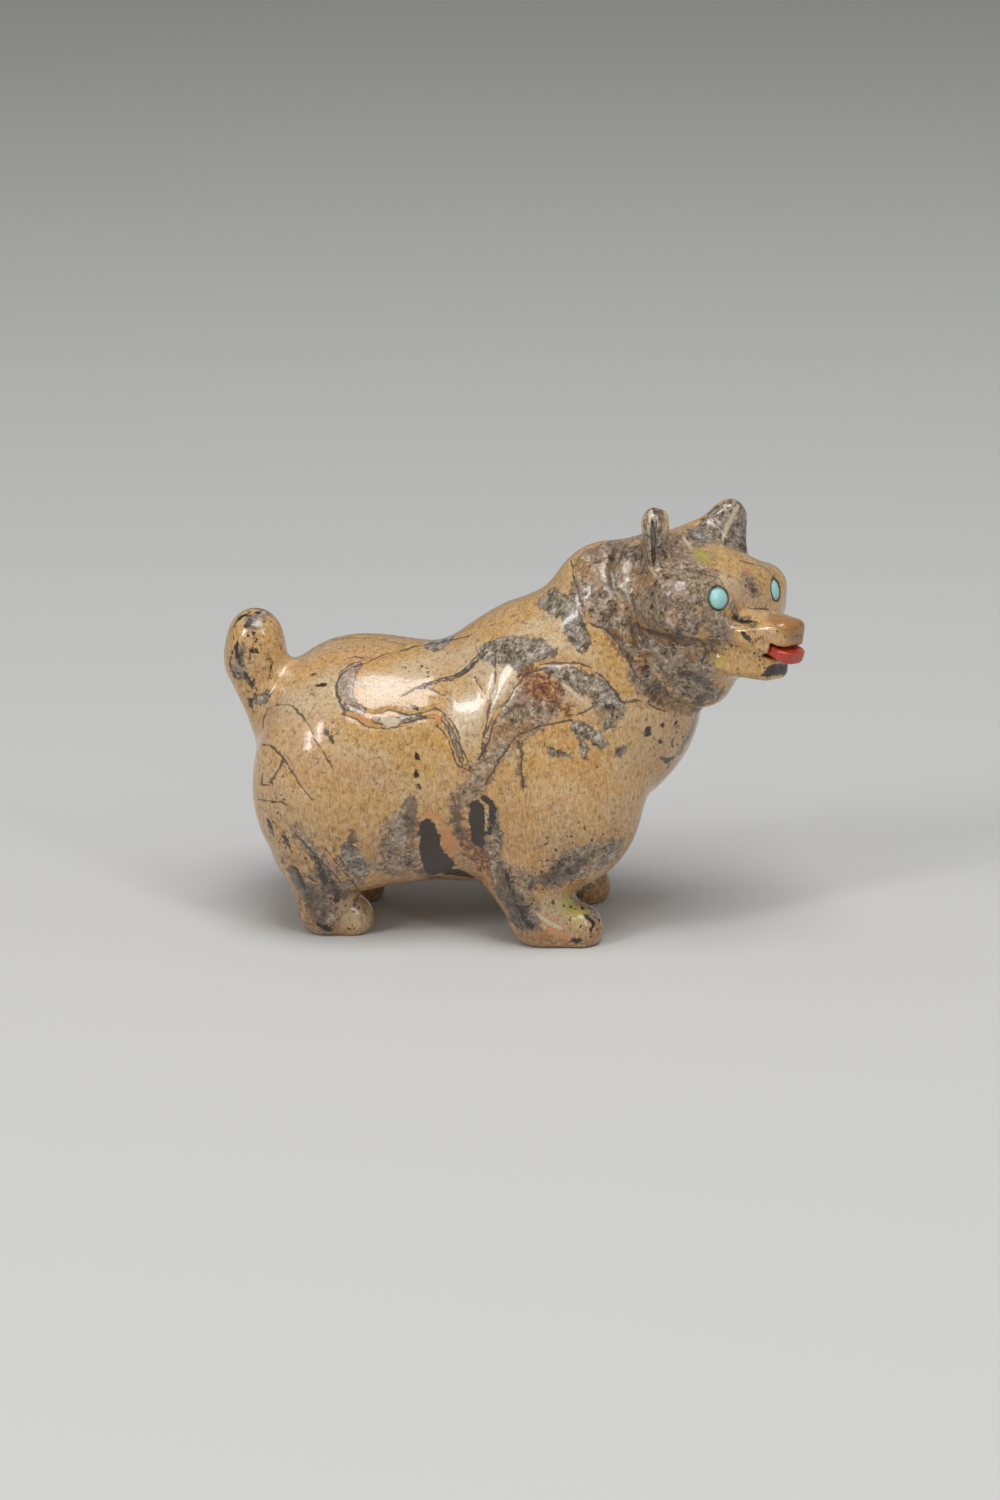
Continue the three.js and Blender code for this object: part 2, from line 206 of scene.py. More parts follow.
def ear():
    """A stub slit down its outer edge, with a web that slopes to the top of the head."""
    upright = pose_matrix((0, 0, -3.6), pitch=-90)
    leaf = posed(upright, wedge((0, 0, 0), 6.4, (3.2, 0.5), (1.6, 1), 1))
    tip = lump((0.1, 0, 1.5), (1.2, 1.5, 2))
    ridge = limb((0.7, 0.5, -3), (1, -0.3, 2.4), (0.6, 0.5))
    web = limb((0, -5, -1.6), (0, -1.2, 1.3), (1.1, 0.9))
    root = limb((0, 0.4, -5.4), (0, 0.4, -2.6), (1.3, 0.8))
    whole = blend(1, leaf, tip, ridge, web, root)
    slit = lump((0, 2.3, 0), (0.24, 1.7, 4))
    return posed(EAR, cut(0.12, whole, slit))


def mask(side, yaw):
    """The plane of the face that holds the eye of one side, turned outwards by yaw."""
    turned = pose_matrix((0, 4.2 * side, 1.2), yaw=yaw * side)
    return posed(turned, wedge((0, 0, 0), 6.95, (4.2, 3.4), (4.2, 3.4), 2.6))


def head():
    """Skull, cheeks, muzzle, jaw, wattle and ears, in the head's own frame."""
    skull = lump((-1.6, 0, 1.4), (7.8, 7.6, 5.6))
    crown = limb((-2.2, -5, 6.4), (-2.2, 5, 6.4), (1.3, 1.3))
    ruff = lump((0, 0, 0), (2, 8.2, 7))
    forehead = lump((3, 0, 2), (4.4, 6.4, 4.2))
    cheek = lump((1.2, 4.6, -0.2), (6, 3.6, 3.2))
    nose = wedge((6.5, 0, -1.5), 7.4, (4.4, 0.6), (2, 2.1), 0.8)
    ridge = lump((10.4, 0, -0.4), (3.6, 2.4, 1.5))
    jaw = wedge((4, 0, -4.5), 8.4, (4.4, 1.8), (1.9, 1.6), 1)
    jowl = lump((1, 0, -4.8), (6.2, 6.2, 3.8))
    wattle = lump((1.4, -0.3, -7.9), (4, 3.8, 3.2))
    collar = posed(pose_matrix((-4.6, 0, 0), pitch=-20), ruff)
    face = blend(2, skull, crown, forehead, collar, mask(1, 12), mask(-1, 20), on_both_sides(cheek))
    underside = blend(1.4, jaw, jowl, wattle)
    return blend(1.4, blend(1.4, face, blend(1.2, nose, ridge)), underside, on_both_sides(ear()))


def folds():
    """The grooves that set off cheek, wattle and ruff, in the head's frame."""
    cheek = groove(0.6, (-1, 8.2, -2.6), (2.2, 8.6, -2.6), (4.6, 8.2, -2.3), (5.8, 6, -3), (6.6, 4.2, -3.6))
    lip = groove(0.4, (6.6, 4.2, -3.6), (8.4, 3.8, -3.2))
    throat = groove(0.7, (0.6, 6.4, -8.8), (1.8, 4.4, -10.4), (2.6, 2, -11.5), (2.8, 0, -11.8))
    ruff = groove(0.5, (-6.4, 5.4, 6.2), (-4.8, 8.6, 3.6), (-3.6, 9.2, 2), (-2, 8.8, 0.6), (-1.2, 8, -2.8))
    return on_both_sides(together(cheek, lip, throat, ruff))


BODY = blend(2, blend(4.5, trunk(), neck()), hind_legs(), forelegs(), tail(), posed(HEAD, head()))
FIGURE = cut(0.6, BODY, posed(HEAD, folds()))


PROBE = 0.02


def gradient(form, p):
    """The field's slope at each point, from the four corners of a small tetrahedron round it."""
    corners = np.array([(1, -1, -1), (-1, -1, 1), (-1, 1, -1), (1, 1, 1)], float)
    return sum(form(p + PROBE * c)[:, None] * c for c in corners) / (4 * PROBE)


def onto_surface(form, p):
    """Points near the surface, moved along the field's slope until they lie on it."""
    g = gradient(form, p)
    return p - g * (form(p) / np.maximum((g * g).sum(1), 0.25))[:, None]


# Inlays: where they sit, in the carver's frame
EYE_LINE = ((2, 4.3, 2.2), (1, 0.12, 0.04))  # from, towards, in the head's frame, for the left eye
MOUTH = pose_matrix((9.2, 0, -1.8), pitch=15)  # the tongue's root, in the head's frame
TONGUE_LENGTH, TONGUE_WIDTH, TONGUE_ROOT_WIDTH, TONGUE_THICKNESS = 5.5, 4, 2.6, 1.4
TONGUE_CORNER = 1.3
TONGUE_HOLLOW = 0.16  # how far the middle of its top lies below the edges
TONGUE_RINGS, TONGUE_SIDES = 48, 40
SQUARED = 0.45  # the tongue's section, from 1, an ellipse, towards 0, a box
EYE_DIAMETER, EYE_DEPTH, EYE_DOME, EYE_PROUD = 2.4, 1.3, 0.4, 0.12
EYE_SIDES = 64
EYE_SEARCH, HALVINGS = 60.0, 40  # how far along the line the stone's surface is looked for
SOCKET_HEIGHT = 4  # from its floor, which takes it out past the surface
MOUTH_EDGE, SOCKET_EDGE, SOLE_EDGE = 0.25, 0.12, 0.3  # how wide these cuts' edges are rounded
GLUE_GAP = 0.25
GLUE_HEIGHT = -0.16  # of the bead's middle over the stone


def eye_frame(side):
    """A frame on the stone where the eye looks out, z outwards."""
    start, towards = (np.array(v, float) * (1, side, 1) for v in EYE_LINE)
    start = HEAD[:3, :3] @ start + HEAD[:3, 3]
    towards = HEAD[:3, :3] @ (towards / np.linalg.norm(towards))
    inner, outer = 0.0, EYE_SEARCH
    for _ in range(HALVINGS):
        middle = (inner + outer) / 2
        if FIGURE((start + middle * towards)[None])[0] < 0:
            inner = middle
        else:
            outer = middle
    seat = start + inner * towards
    outwards = Vector(gradient(FIGURE, seat[None])[0]).normalized()
    turn = outwards.to_track_quat("Z", "Y").to_matrix().to_4x4()
    return np.array(Matrix.Translation(seat) @ turn)


EYES = {"eye_left": eye_frame(1), "eye_right": eye_frame(-1)}


def socket(matrix):
    """The round hole for an eye and its glue."""
    radius = EYE_DIAMETER / 2 + GLUE_GAP / 2
    floor = EYE_PROUD - EYE_DOME - EYE_DEPTH - GLUE_GAP
    half = SOCKET_HEIGHT / 2

    def field(p):
        q = into(matrix, p)
        round_wall = np.hypot(q[:, 0], q[:, 1]) - radius
        return np.maximum(round_wall, np.abs(q[:, 2] - floor - half) - half)

    return field


def tongue_half_width(x):
    """Half the tongue's width at x along it, before its corners are rounded."""
    share = np.clip(x / (TONGUE_LENGTH / 2), 0, 1)
    return (TONGUE_ROOT_WIDTH + share * (TONGUE_WIDTH - TONGUE_ROOT_WIDTH)) / 2


def mouth(p):
    """The slot for the tongue and its glue, open to the front."""
    q = into(HEAD @ MOUTH, p)
    sides = np.abs(q[:, 1]) - tongue_half_width(q[:, 0]) - GLUE_GAP
    height = np.abs(q[:, 2]) - TONGUE_THICKNESS / 2 - GLUE_GAP
    return np.maximum(np.maximum(sides, height), -q[:, 0] - GLUE_GAP)


def carving():
    """The whole figure with its sockets and mouth, its soles ground flat at z = 0."""
    body = cut(MOUTH_EDGE, FIGURE, mouth)
    for matrix in EYES.values():
        body = cut(SOCKET_EDGE, body, socket(matrix))
    return cut(SOLE_EDGE, body, lambda p: p[:, 2])


# Meshing: points on the surface, one in each grid cell that it crosses
def grid_lines(stops):
    """The grid's places along one axis."""
    lines = [np.array([stops[0][0]], float)]
    for (at, step), (end, _) in zip(stops, stops[1:]):
        count = max(1, round((end - at) / step))
        lines.append(at + (end - at) * np.arange(1, count + 1) / count)
    return np.concatenate(lines)


COARSE = 4  # grid steps in a block
NEAR_CELLS = 1.9  # blocks, how near the surface each grid node is worked out
NODES_AT_ONCE = 100000
RELAXINGS = 3


def sample(form, lines):
    """The field at every grid node; far from the surface one value serves a whole block of nodes."""
    rough_lines = [axis[::COARSE] for axis in lines]
    nodes = np.stack(np.meshgrid(*rough_lines, indexing="ij"), -1)
    rough = form(nodes.reshape(-1, 3)).reshape(nodes.shape[:3])
    cell = max(np.diff(axis).max() for axis in rough_lines)
    near = np.abs(rough) < NEAR_CELLS * cell
    where = [np.minimum((np.arange(len(a)) + COARSE // 2) // COARSE, len(r) - 1)
             for a, r in zip(lines, rough_lines)]
    value = rough[np.ix_(*where)]
    fine = np.argwhere(near[np.ix_(*where)])
    points = np.stack([axis[fine[:, i]] for i, axis in enumerate(lines)], 1)
    for start in range(0, len(points), NODES_AT_ONCE):
        stretch = slice(start, start + NODES_AT_ONCE)
        value[tuple(fine[stretch].T)] = form(points[stretch])
    return value


def polygonise(value, lines):
    """One point in each cell that the surface crosses, one quad round each crossed edge."""
    inside = value < 0
    corners = [(a, b, c) for a in (0, 1) for b in (0, 1) for c in (0, 1)]
    span = [n - 1 for n in value.shape]
    held = sum(inside[a:a + span[0], b:b + span[1], c:c + span[2]].astype(np.int8) for a, b, c in corners)
    cells = np.argwhere((held > 0) & (held < 8))
    number = np.full(span, -1)
    number[tuple(cells.T)] = np.arange(len(cells))
    total, crossings = np.zeros((len(cells), 3)), np.zeros(len(cells))
    place = lambda at: np.stack([axis[at[:, i]] for i, axis in enumerate(lines)], 1)
    for corner in corners:
        for axis in range(3):
            if corner[axis]:
                continue
            a = cells + corner
            b = a + np.eye(3, dtype=int)[axis]
            va, vb = value[tuple(a.T)], value[tuple(b.T)]
            crossed = (va < 0) != (vb < 0)
            t = np.where(crossed, va / np.where(crossed, va - vb, 1), 0)[:, None]
            total += np.where(crossed[:, None], place(a) * (1 - t) + place(b) * t, 0)
            crossings += crossed
    quads = []
    middle = inside[1:-1, 1:-1, 1:-1]
    for axis in range(3):
        step, u, v = np.roll(np.eye(3, dtype=int), -axis, 0)
        beyond = inside[tuple(slice(1 + s, n - 1 + s) for s, n in zip(step, inside.shape))]
        at = np.argwhere(middle != beyond) + 1
        ring = np.stack([number[tuple(r.T)] for r in (at - u - v, at - v, at, at - u)], 1)
        outward = inside[tuple(at.T)]
        ring[~outward] = ring[~outward][:, ::-1]
        quads.append(ring)
    return total / crossings[:, None], np.concatenate(quads)


def relax(form, points, quads):
    """Draws each point half way to the middle of its neighbours, then back onto the surface."""
    ends = np.concatenate([quads[:, [i, (i + 1) % 4]] for i in range(4)])
    ends = np.unique(np.sort(ends, 1), axis=0)
    a, b = np.concatenate([ends, ends[:, ::-1]]).T
    count = np.bincount(a, minlength=len(points))[:, None]
    for _ in range(RELAXINGS):
        total = np.stack([np.bincount(a, points[b, i], len(points)) for i in range(3)], 1)
        points = onto_surface(form, (points + total / count) / 2)
    return onto_surface(form, points)


def to_frame(points):
    """Where the carver's millimetres lie in the frame: the stone's node has the same outline."""
    low, high = (np.array(corner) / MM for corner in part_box("stone_bear"))
    mine_low, mine_high = points.min(0), points.max(0)
    scale = (high[0] - low[0]) / (mine_high[0] - mine_low[0])
    shift = (low + high) / 2 - scale * (mine_low + mine_high) / 2
    shift[2] = 0
    return scale, shift


# The photograph's view: its pixels, and the rays through them
PHOTO_WIDTH, PHOTO_HEIGHT = 1000, 1500
AZIMUTH, ELEVATION, DISTANCE = 4.5, 18, 430
TARGET = (0.38, 0, 16.1)
TARGET_PIXEL = (517, 781)
PIXELS_PER_MM = 9.03


def view_axes():
    """The camera's right, up and back."""
    a, e = math.radians(AZIMUTH), math.radians(ELEVATION)
    right = Vector((math.cos(a), math.sin(a), 0))
    back = Vector((math.sin(a) * math.cos(e), -math.cos(a) * math.cos(e), math.sin(e)))
    return right, back.cross(right), back


def camera_place():
    """Where the photograph's camera stood."""
    return Vector(TARGET) + DISTANCE * view_axes()[2]


def cast(tree, pixel, far):
    """Where the ray through a pixel meets the stone; far mirrors the ray to the hidden side."""
    right, up, back = view_axes()
    x, y = (float(p - t) / PIXELS_PER_MM for p, t in zip(pixel, TARGET_PIXEL))
    start, ray = camera_place(), x * right - y * up - DISTANCE * back
    if far:
        start.y, ray.y = -start.y, -ray.y
    hit, normal, _, _ = tree.ray_cast(start, ray.normalized())
    return (np.array(hit), np.array(normal)) if hit else None


FAR_OFF = 5.0  # millimetres, where a mark no longer matters
POINTS_AT_ONCE = 20000
CURVE_STEP = 2.0  # pixels


class Marks:
    """One kind of mark in the stone: at each vertex how far outside the nearest stroke it lies, and on
    which side of the stroke's middle line."""

    def __init__(self, points):
        self.points = points
        self.off = np.full(len(points), FAR_OFF)
        self.side = np.full(len(points), FAR_OFF)

    def stroke(self, tree, pixels, widths, far):
        """A stroke through pixels of the photograph, its widths in pixels from its start to its end."""
        spots = [s for s in (cast(tree, p, far) for p in smooth(pixels)) if s]
        if not spots:
            return
        at, normal = (np.array(v) for v in zip(*spots))
        shares = np.linspace(0, 1, len(at))
        radii = np.interp(shares, np.linspace(0, 1, len(widths)), widths) / 2 / PIXELS_PER_MM
        along = np.gradient(at, axis=0) if len(at) > 1 else np.array([[1.0, 0, 0]])
        across = np.cross(normal, along)
        across /= np.maximum(np.linalg.norm(across, axis=1), 1e-9)[:, None]
        reach = FAR_OFF + radii.max()
        box = np.all((self.points > at.min(0) - reach) & (self.points < at.max(0) + reach), axis=1)
        near = np.flatnonzero(box)
        for start in range(0, len(near), POINTS_AT_ONCE):
            ids = near[start:start + POINTS_AT_ONCE]
            gap = self.points[ids][:, None] - at[None]
            off = np.sqrt((gap * gap).sum(2)) - radii
            best = off.argmin(1)
            rows = np.arange(len(ids))
            better = off[rows, best] < self.off[ids]
            rows, best, ids = rows[better], best[better], ids[better]
            self.off[ids] = off[rows, best]
            self.side[ids] = (gap[rows, best] * across[best]).sum(1)


def smooth(pixels):
    """Points a step apart along a smooth curve through the given ones."""
    p = np.array(pixels, float)
    if len(p) == 1:
        return p
    p = np.concatenate([[2 * p[0] - p[1]], p, [2 * p[-1] - p[-2]]])
    out = []
    for a, b, c, d in zip(p, p[1:], p[2:], p[3:]):
        count = max(1, int(np.hypot(*(c - b)) / CURVE_STEP))
        t = np.arange(count)[:, None] / count
        out.append(0.5 * (2 * b + (c - a) * t + (2 * a - 5 * b + 4 * c - d) * t ** 2
                          + (3 * b - a - 3 * c + d) * t ** 3))
    return np.concatenate(out + [p[-2:-1]])


def strokes(drawn):
    """Reads a drawing such as those below, as (widths, points) for each stroke."""
    for line in drawn.strip().splitlines():
        widths, paths = line.split(":")
        for path in paths.split("/"):
            points = [[float(v) for v in point.split(",")] for point in path.split()]
            yield [float(width) for width in widths.split()], points


# Marks in the stone, drawn over the photograph, in its pixels. Each line gives a width, or
# several from start to end, and then the points x,y of a stroke, with / before a next stroke.
# Some strokes are painted light rather than marks of the stone: painted shade in hollows and under the
# belly, and painted highlights along ridges, as noted at their kinds.
MARKS = {
    "crack": """
    2.4: 350,667 365,663 385,654 404,650 419,645 441,642 467,636
    2 3: 350,667 340,676 336,688 339,701 344,710
    3: 346,703 357,708 368,713 380,713 391,710 407,715 422,713 435,708
    3: 435,708 444,713 452,723 457,733 461,748 469,764
    3: 345,715 357,719 368,727 389,728 404,725 418,719 430,719
    2: 438,726 448,740 454,755 457,765 467,770
    3 2 2 1: 484,649 477,660 460,673 441,678 424,684 404,695
    2: 484,655 467,671 457,676 448,678
    1.6: 424,684 433,690 441,694 / 495,659 494,686 491,703 487,721 480,757
    2.4: 476,680 481,689 486,698
    2 3 5: 522,738 521,755 523,786
    3: 544,664 570,663 589,667 607,682 618,697
    2 3 3: 544,668 526,675 515,688 509,698 500,711 492,729 484,755
    4 3: 567,721 533,729 517,736 507,749 496,766 487,781
    2 3 3: 622,702 643,701 654,707 662,710
    1.6 2 4 3: 263,729 264,716 273,706 290,705 298,712 307,723 315,739 330,763
    2.4: 264,745 272,747 283,758 294,775 303,790 310,797
    1.8: 262,777 262,785 268,785
    1.4: 281,764 273,778 270,783
    1.8: 260,800 270,801 278,802 284,804
    3: 348,658 355,656 361,657
    1.6 2: 300,643 330,639 362,637 385,640 402,644
    1.6: 297,836 315,855 339,879 / 308,849 327,868
    2: 327,851 340,867 358,889
    1.4: 339,858 347,869 / 570,716 580,714 591,708
    2 3: 571,562 574,580 580,600 588,622 606,630 618,645 628,660 638,678
    2 3: 742,561 754,564 767,568 774,578
    2.4: 699,571 710,575 719,578 723,583
    3: 752,608 764,609 774,614
    4 3 3: 643,628 660,638 676,639 693,638 706,646 703,659
    2: 665,684 669,696 680,702 697,704 715,702 722,690 / 654,509 656,520 655,534 657,549
    """,
    "vein": """
    10 17 16 14 9: 357,665 347,676 345,690 349,703 362,710
    5: 443,718 449,728 456,744 461,760
    5 4 2: 482,653 460,674 441,680 424,685 408,693
    7 7 3: 374,720 391,721 408,719 426,716
    """,
    "matrix": """
    34 42 32 24 22 22 16: 544,694 532,708 510,728 498,748 485,768 472,788 464,800
    28 42 36: 398,826 401,842 402,862
    18 24 32 34 28: 493,846 493,863 506,883 514,899 524,913
    8 12 14 18 12 8: 521,881 538,878 559,868 579,855 599,848 622,841
    12 20 24: 552,884 582,870 610,856
    14 18 12: 520,905 518,922 534,922
    10 16 12: 572,896 588,906 596,920
    16 26 24: 298,884 314,898 326,918
    14 20 14: 318,880 338,890 358,882
    8 12 12: 296,830 312,850 330,872
    10 14: 362,866 384,866 / 240,650 238,672
    34 44 40 30: 592,566 592,584 602,604 614,622
    24 34 30: 586,560 602,553 624,548
    30 34 20: 676,674 696,690 712,696
    64 72 74 60: 640,560 652,588 660,606 680,610
    44 50: 674,552 690,572
    24 30: 690,560 702,560
    30 40 50: 646,640 664,656 690,668
    24 20: 640,672 652,692
    24 28 22: 716,618 722,630 716,640
    12 14: 747,578 752,586
    14 12: 262,612 250,626
    26: 610,712
    20 26 20: 664,548 684,541 706,538
    16 20 16: 598,600 613,628 630,652
    """,
    "slate": """
    22 32 30 22 6: 490,651 503,650 520,650 538,650 552,652
    14 8: 517,662 523,672
    10 16 20 22 14: 549,671 566,673 585,682 602,694 616,704
    12 11 10: 576,727 586,732 598,738
    8 5: 598,738 604,746
    5: 551,752 562,754 570,757 / 621,754 627,747
    6 3: 584,746 585,760
    4: 613,703 611,714 607,725
    9 9 6: 495,813 496,830 499,841
    14 20 14: 348,848 352,860 360,872
    26 40 44: 742,506 735,522 732,540
    16 22 24: 724,510 712,526 700,536
    16 18 16: 655,506 655,525 656,545
    24 20: 548,600 562,606
    14 22 18: 566,606 574,624 582,642
    12 12: 690,676 700,680
    9 8: 732,606 735,612
    8: 256,700 266,696
    10 9: 518,922 530,920
    """,
    "rust": """
    20 26 20: 530,678 538,684 550,692
    8: 565,708 565,713
    18 24 16: 466,835 475,851 483,866
    6: 638,660 642,670
    5 7 5: 672,643 688,644 702,646
    7: 522,702
    """,
    "orange": """
    5 7 6: 352,714 362,718 374,722
    6: 434,716 442,719
    4: 417,828 421,816 434,815 443,823
    12 14: 446,832 449,850
    4 7 4: 548,928 558,934 568,936
    8: 747,571
    """,
    # Most brown strokes are darker mottled stone. Those starting at 412,870, along the underside of the
    # belly, and at 340,893, in a fold low on the hind leg, are painted shade.
    "brown": """
    10 12 12: 457,797 456,815 459,832
    13: 411,802 412,820
    8 10: 737,619 753,624
    12 16 10: 652,632 672,640 700,644
    12 14: 684,674 704,682
    5 9: 311,878 311,892
    3 5: 335,840 334,849
    5: 351,833 352,844 / 322,893
    6: 283,862
    4: 299,890 300,900 / 357,899 357,909 / 564,860 566,872
    12 8: 340,893 357,891
    3: 300,908 301,916 / 308,911 308,923
    4 6: 579,896 589,888 / 617,754 625,746
    4 6 5: 606,622 620,645 636,664
    3 4 6: 521,744 521,764 524,786
    14 22 26 20: 500,868 506,888 512,904 520,920
    12 20 26 18: 292,872 302,886 312,900 320,916
    10 16 14: 316,868 330,884 342,896
    8 14 8: 412,870 446,880 480,886
    10 16 12: 534,884 560,876 584,862
    10 14 10: 700,700 694,726 680,752
    """,
    # Most dark strokes are black inclusions of the stone. Those starting at 427,823, 452,872, 477,805,
    # 483,797 and 520,908 are painted shade: the recess of the flank, the underside of the belly, the hollow
    # behind the elbow and the hollow of the near fore paw.
    "dark": """
    2 5 3: 732,617 744,622 757,621 / 316,858 322,872 326,884
    3 4: 742,632 750,640 / 314,922 330,930 / 268,820 274,836
    2 3: 753,641 760,638
    3: 646,720 / 676,722 / 672,742 / 682,743 / 634,798 / 686,732 / 660,742 / 646,667 648,676
    3: 326,730 328,734 / 416,771 416,775 / 418,786 417,790 / 412,705 417,708 / 253,679 254,682
    3: 238,685
    6 5: 647,729 648,733
    4: 662,725 / 652,771 / 669,766 / 332,738 332,742 / 417,755 418,759 / 573,940 580,940
    3 5 4: 661,756 668,760 675,758 / 586,916 593,924 590,932
    11 20 22 30: 427,823 430,838 431,854 440,866
    16 10: 452,872 470,876
    12 17 12: 477,805 478,822 479,842
    6 8 8 5: 483,797 490,802 493,813 489,833
    5 12 12: 766,675 775,670 788,669
    5: 257,612
    2.4: 310,675 316,674 / 319,685 324,685
    3 5 2: 296,868 301,880 305,894 / 234,626 240,618 250,612
    2 4 3: 333,880 337,892 336,902
    3 6 3: 504,868 509,882 513,894
    3 5 3: 520,908 524,918 533,928 / 256,694 250,702 254,712
    2 4 2: 561,862 569,872 572,884 / 256,640 250,656 252,668 / 244,672 250,682 256,690
    2 4 2: 282,830 287,842 292,852
    3 5: 256,618 246,626
    2 5 2: 238,640 236,652 240,664
    2 4: 262,640 258,652
    2 3 2: 268,652 272,664 270,676 / 232,652 230,664 234,676
    """,
    # The cream strokes are pale panels of the stone, except the one starting at 552,906, which is painted
    # light on the lit top of the near fore paw.
    "cream": """
    20 26 20: 696,578 722,582 744,590
    24 30 24: 520,636 552,622 580,630
    30 40 34: 376,688 405,676 440,660
    26 34 24: 468,695 468,720 470,745
    26 22: 560,640 590,650
    22 20: 345,745 378,750
    12 10: 568,694 588,702
    46 46: 292,700 322,690
    22 26: 352,908 360,920
    22 26 20: 552,906 576,914 592,910
    40 40: 470,655 540,700
    8: 661,546 663,557
    """,
    # Most pale strokes are pale veins of the stone. Those starting at 738,506 on the far ear's ridge,
    # 648,566 on the cheek ridge, 563,684 on a crack by the shoulder and 531,908 on the near fore paw's
    # ridge are painted highlights.
    "pale": """
    2 3 3 3 2: 624,543 619,555 617,570 619,583 626,593 632,608 635,616
    3 5 4 3: 651,511 651,525 653,540 655,546
    3: 738,506 732,518 725,533 721,547 / 684,538 691,548
    2: 665,513 668,522 663,532 / 563,684 576,695 589,705 / 487,810 486,830
    1.6: 648,566 656,576 663,586
    2.4: 767,646 772,656 780,661
    8 12 6: 385,719 390,722 396,721
    2 3 2: 531,908 545,920 562,929
    """,
    "gold": """
    20 22 16: 350,636 400,648 460,640
    18 20 20: 490,630 525,612 560,585
    20 30 26: 596,634 612,652 630,672
    20 26 20: 355,735 400,740 440,740
    26 26: 330,790 380,800
    14 20 14: 735,660 752,662 766,654
    12: 703,612 703,640
    16 26 18: 716,552 728,562 760,576
    """,
    "green": """
    8 14 8: 698,551 704,557 710,562
    12: 720,660
    9: 373,912
    18 20: 566,902 576,912
    """,
    "honey": "20 26 24: 778,618 795,626 804,638",
    "specks": """
    40: 669,748
    34: 700,722
    30 40 40: 300,850 320,880 340,905
    30 34: 245,640 245,680
    14: 329,738
    60 50: 575,850 560,880
    40 40: 520,900 570,915
    60: 735,650
    30 34 30: 276,790 280,830 296,870
    30 30: 246,612 250,690
    40 36: 330,895 350,915
    36 40: 590,905 600,925
    20 16: 405,665 425,672
    40 44 30: 682,728 672,748 658,770
    """,
}
# The same for the hidden side: each stroke's mirror image
HIDDEN_MARKS = {
    "crack": """
    2.4: 300,700 340,670 400,668 450,690 520,680
    2: 420,700 430,740 470,770 / 560,700 555,750 575,790 / 290,780 320,820 330,850
    """,
    "vein": "6 9 5: 400,668 450,690 520,680",
    "matrix": """
    30 44 24: 560,640 520,700 470,760
    60 80 70: 600,590 640,590 680,640
    26 22: 712,560 716,534
    22 16: 646,540 646,512
    40 50 40: 612,570 650,558 690,566
    30 30: 320,890 345,915
    22 26: 520,890 560,915
    40: 390,830 / 250,650
    """,
    "slate": """
    26 30 10: 440,640 480,650 530,660
    20: 620,740
    """,
    "rust": """
    26: 500,720
    20 26: 470,850 500,860
    """,
    "dark": "5 10 6: 392,842 404,852 412,868",
    "cream": """
    50 60: 380,720 440,730
    50: 600,700
    """,
    "gold": """
    30 36 30: 350,650 420,655 480,640
    60: 300,780
    """,
    "green": "12: 575,905",
    "specks": """
    50 60: 640,740 600,820
    50: 310,870
    """,
}


def mark_stone(mesh, tree):
    """Writes how far each vertex lies from each kind of mark, as attributes of the mesh."""
    points = np.empty(len(mesh.vertices) * 3)
    mesh.vertices.foreach_get("co", points)
    points = points.reshape(-1, 3) / MM
    for kind, drawn in MARKS.items():
        marks = Marks(points)
        for drawing, far in ((drawn, False), (HIDDEN_MARKS.get(kind, ""), True)):
            for widths, pixels in strokes(drawing):
                marks.stroke(tree, pixels, widths, far)
        write(mesh, kind, marks.off)
        if kind == "crack":
            write(mesh, "crack_side", marks.side)


def write(mesh, name, values):
    """Gives the mesh a named number at each vertex."""
    mesh.attributes.new(name, "FLOAT", "POINT").data.foreach_set("value", values.astype(np.float32))


# Node trees
class Wire:
    """A number in a node tree. Arithmetic on it adds Math nodes."""

    def __init__(self, recipe, socket):
        self.recipe, self.socket = recipe, socket

    def math(self, operation, *values):
        return self.recipe.node("ShaderNodeMath", {"operation": operation}, dict(enumerate(values)))

    def __add__(self, other):
        return self.math("ADD", self, other)

    def __sub__(self, other):
        return self.math("SUBTRACT", self, other)

    def __rsub__(self, other):
        return self.math("SUBTRACT", other, self)

    def __mul__(self, other):
        return self.math("MULTIPLY", self, other)

    def __truediv__(self, other):
        return self.math("DIVIDE", self, other)

    __radd__, __rmul__ = __add__, __mul__

    def least(self, other):
        return self.math("MINIMUM", self, other)

    def most(self, other):
        return self.math("MAXIMUM", self, other)

    def size(self):
        return self.math("ABSOLUTE", self)


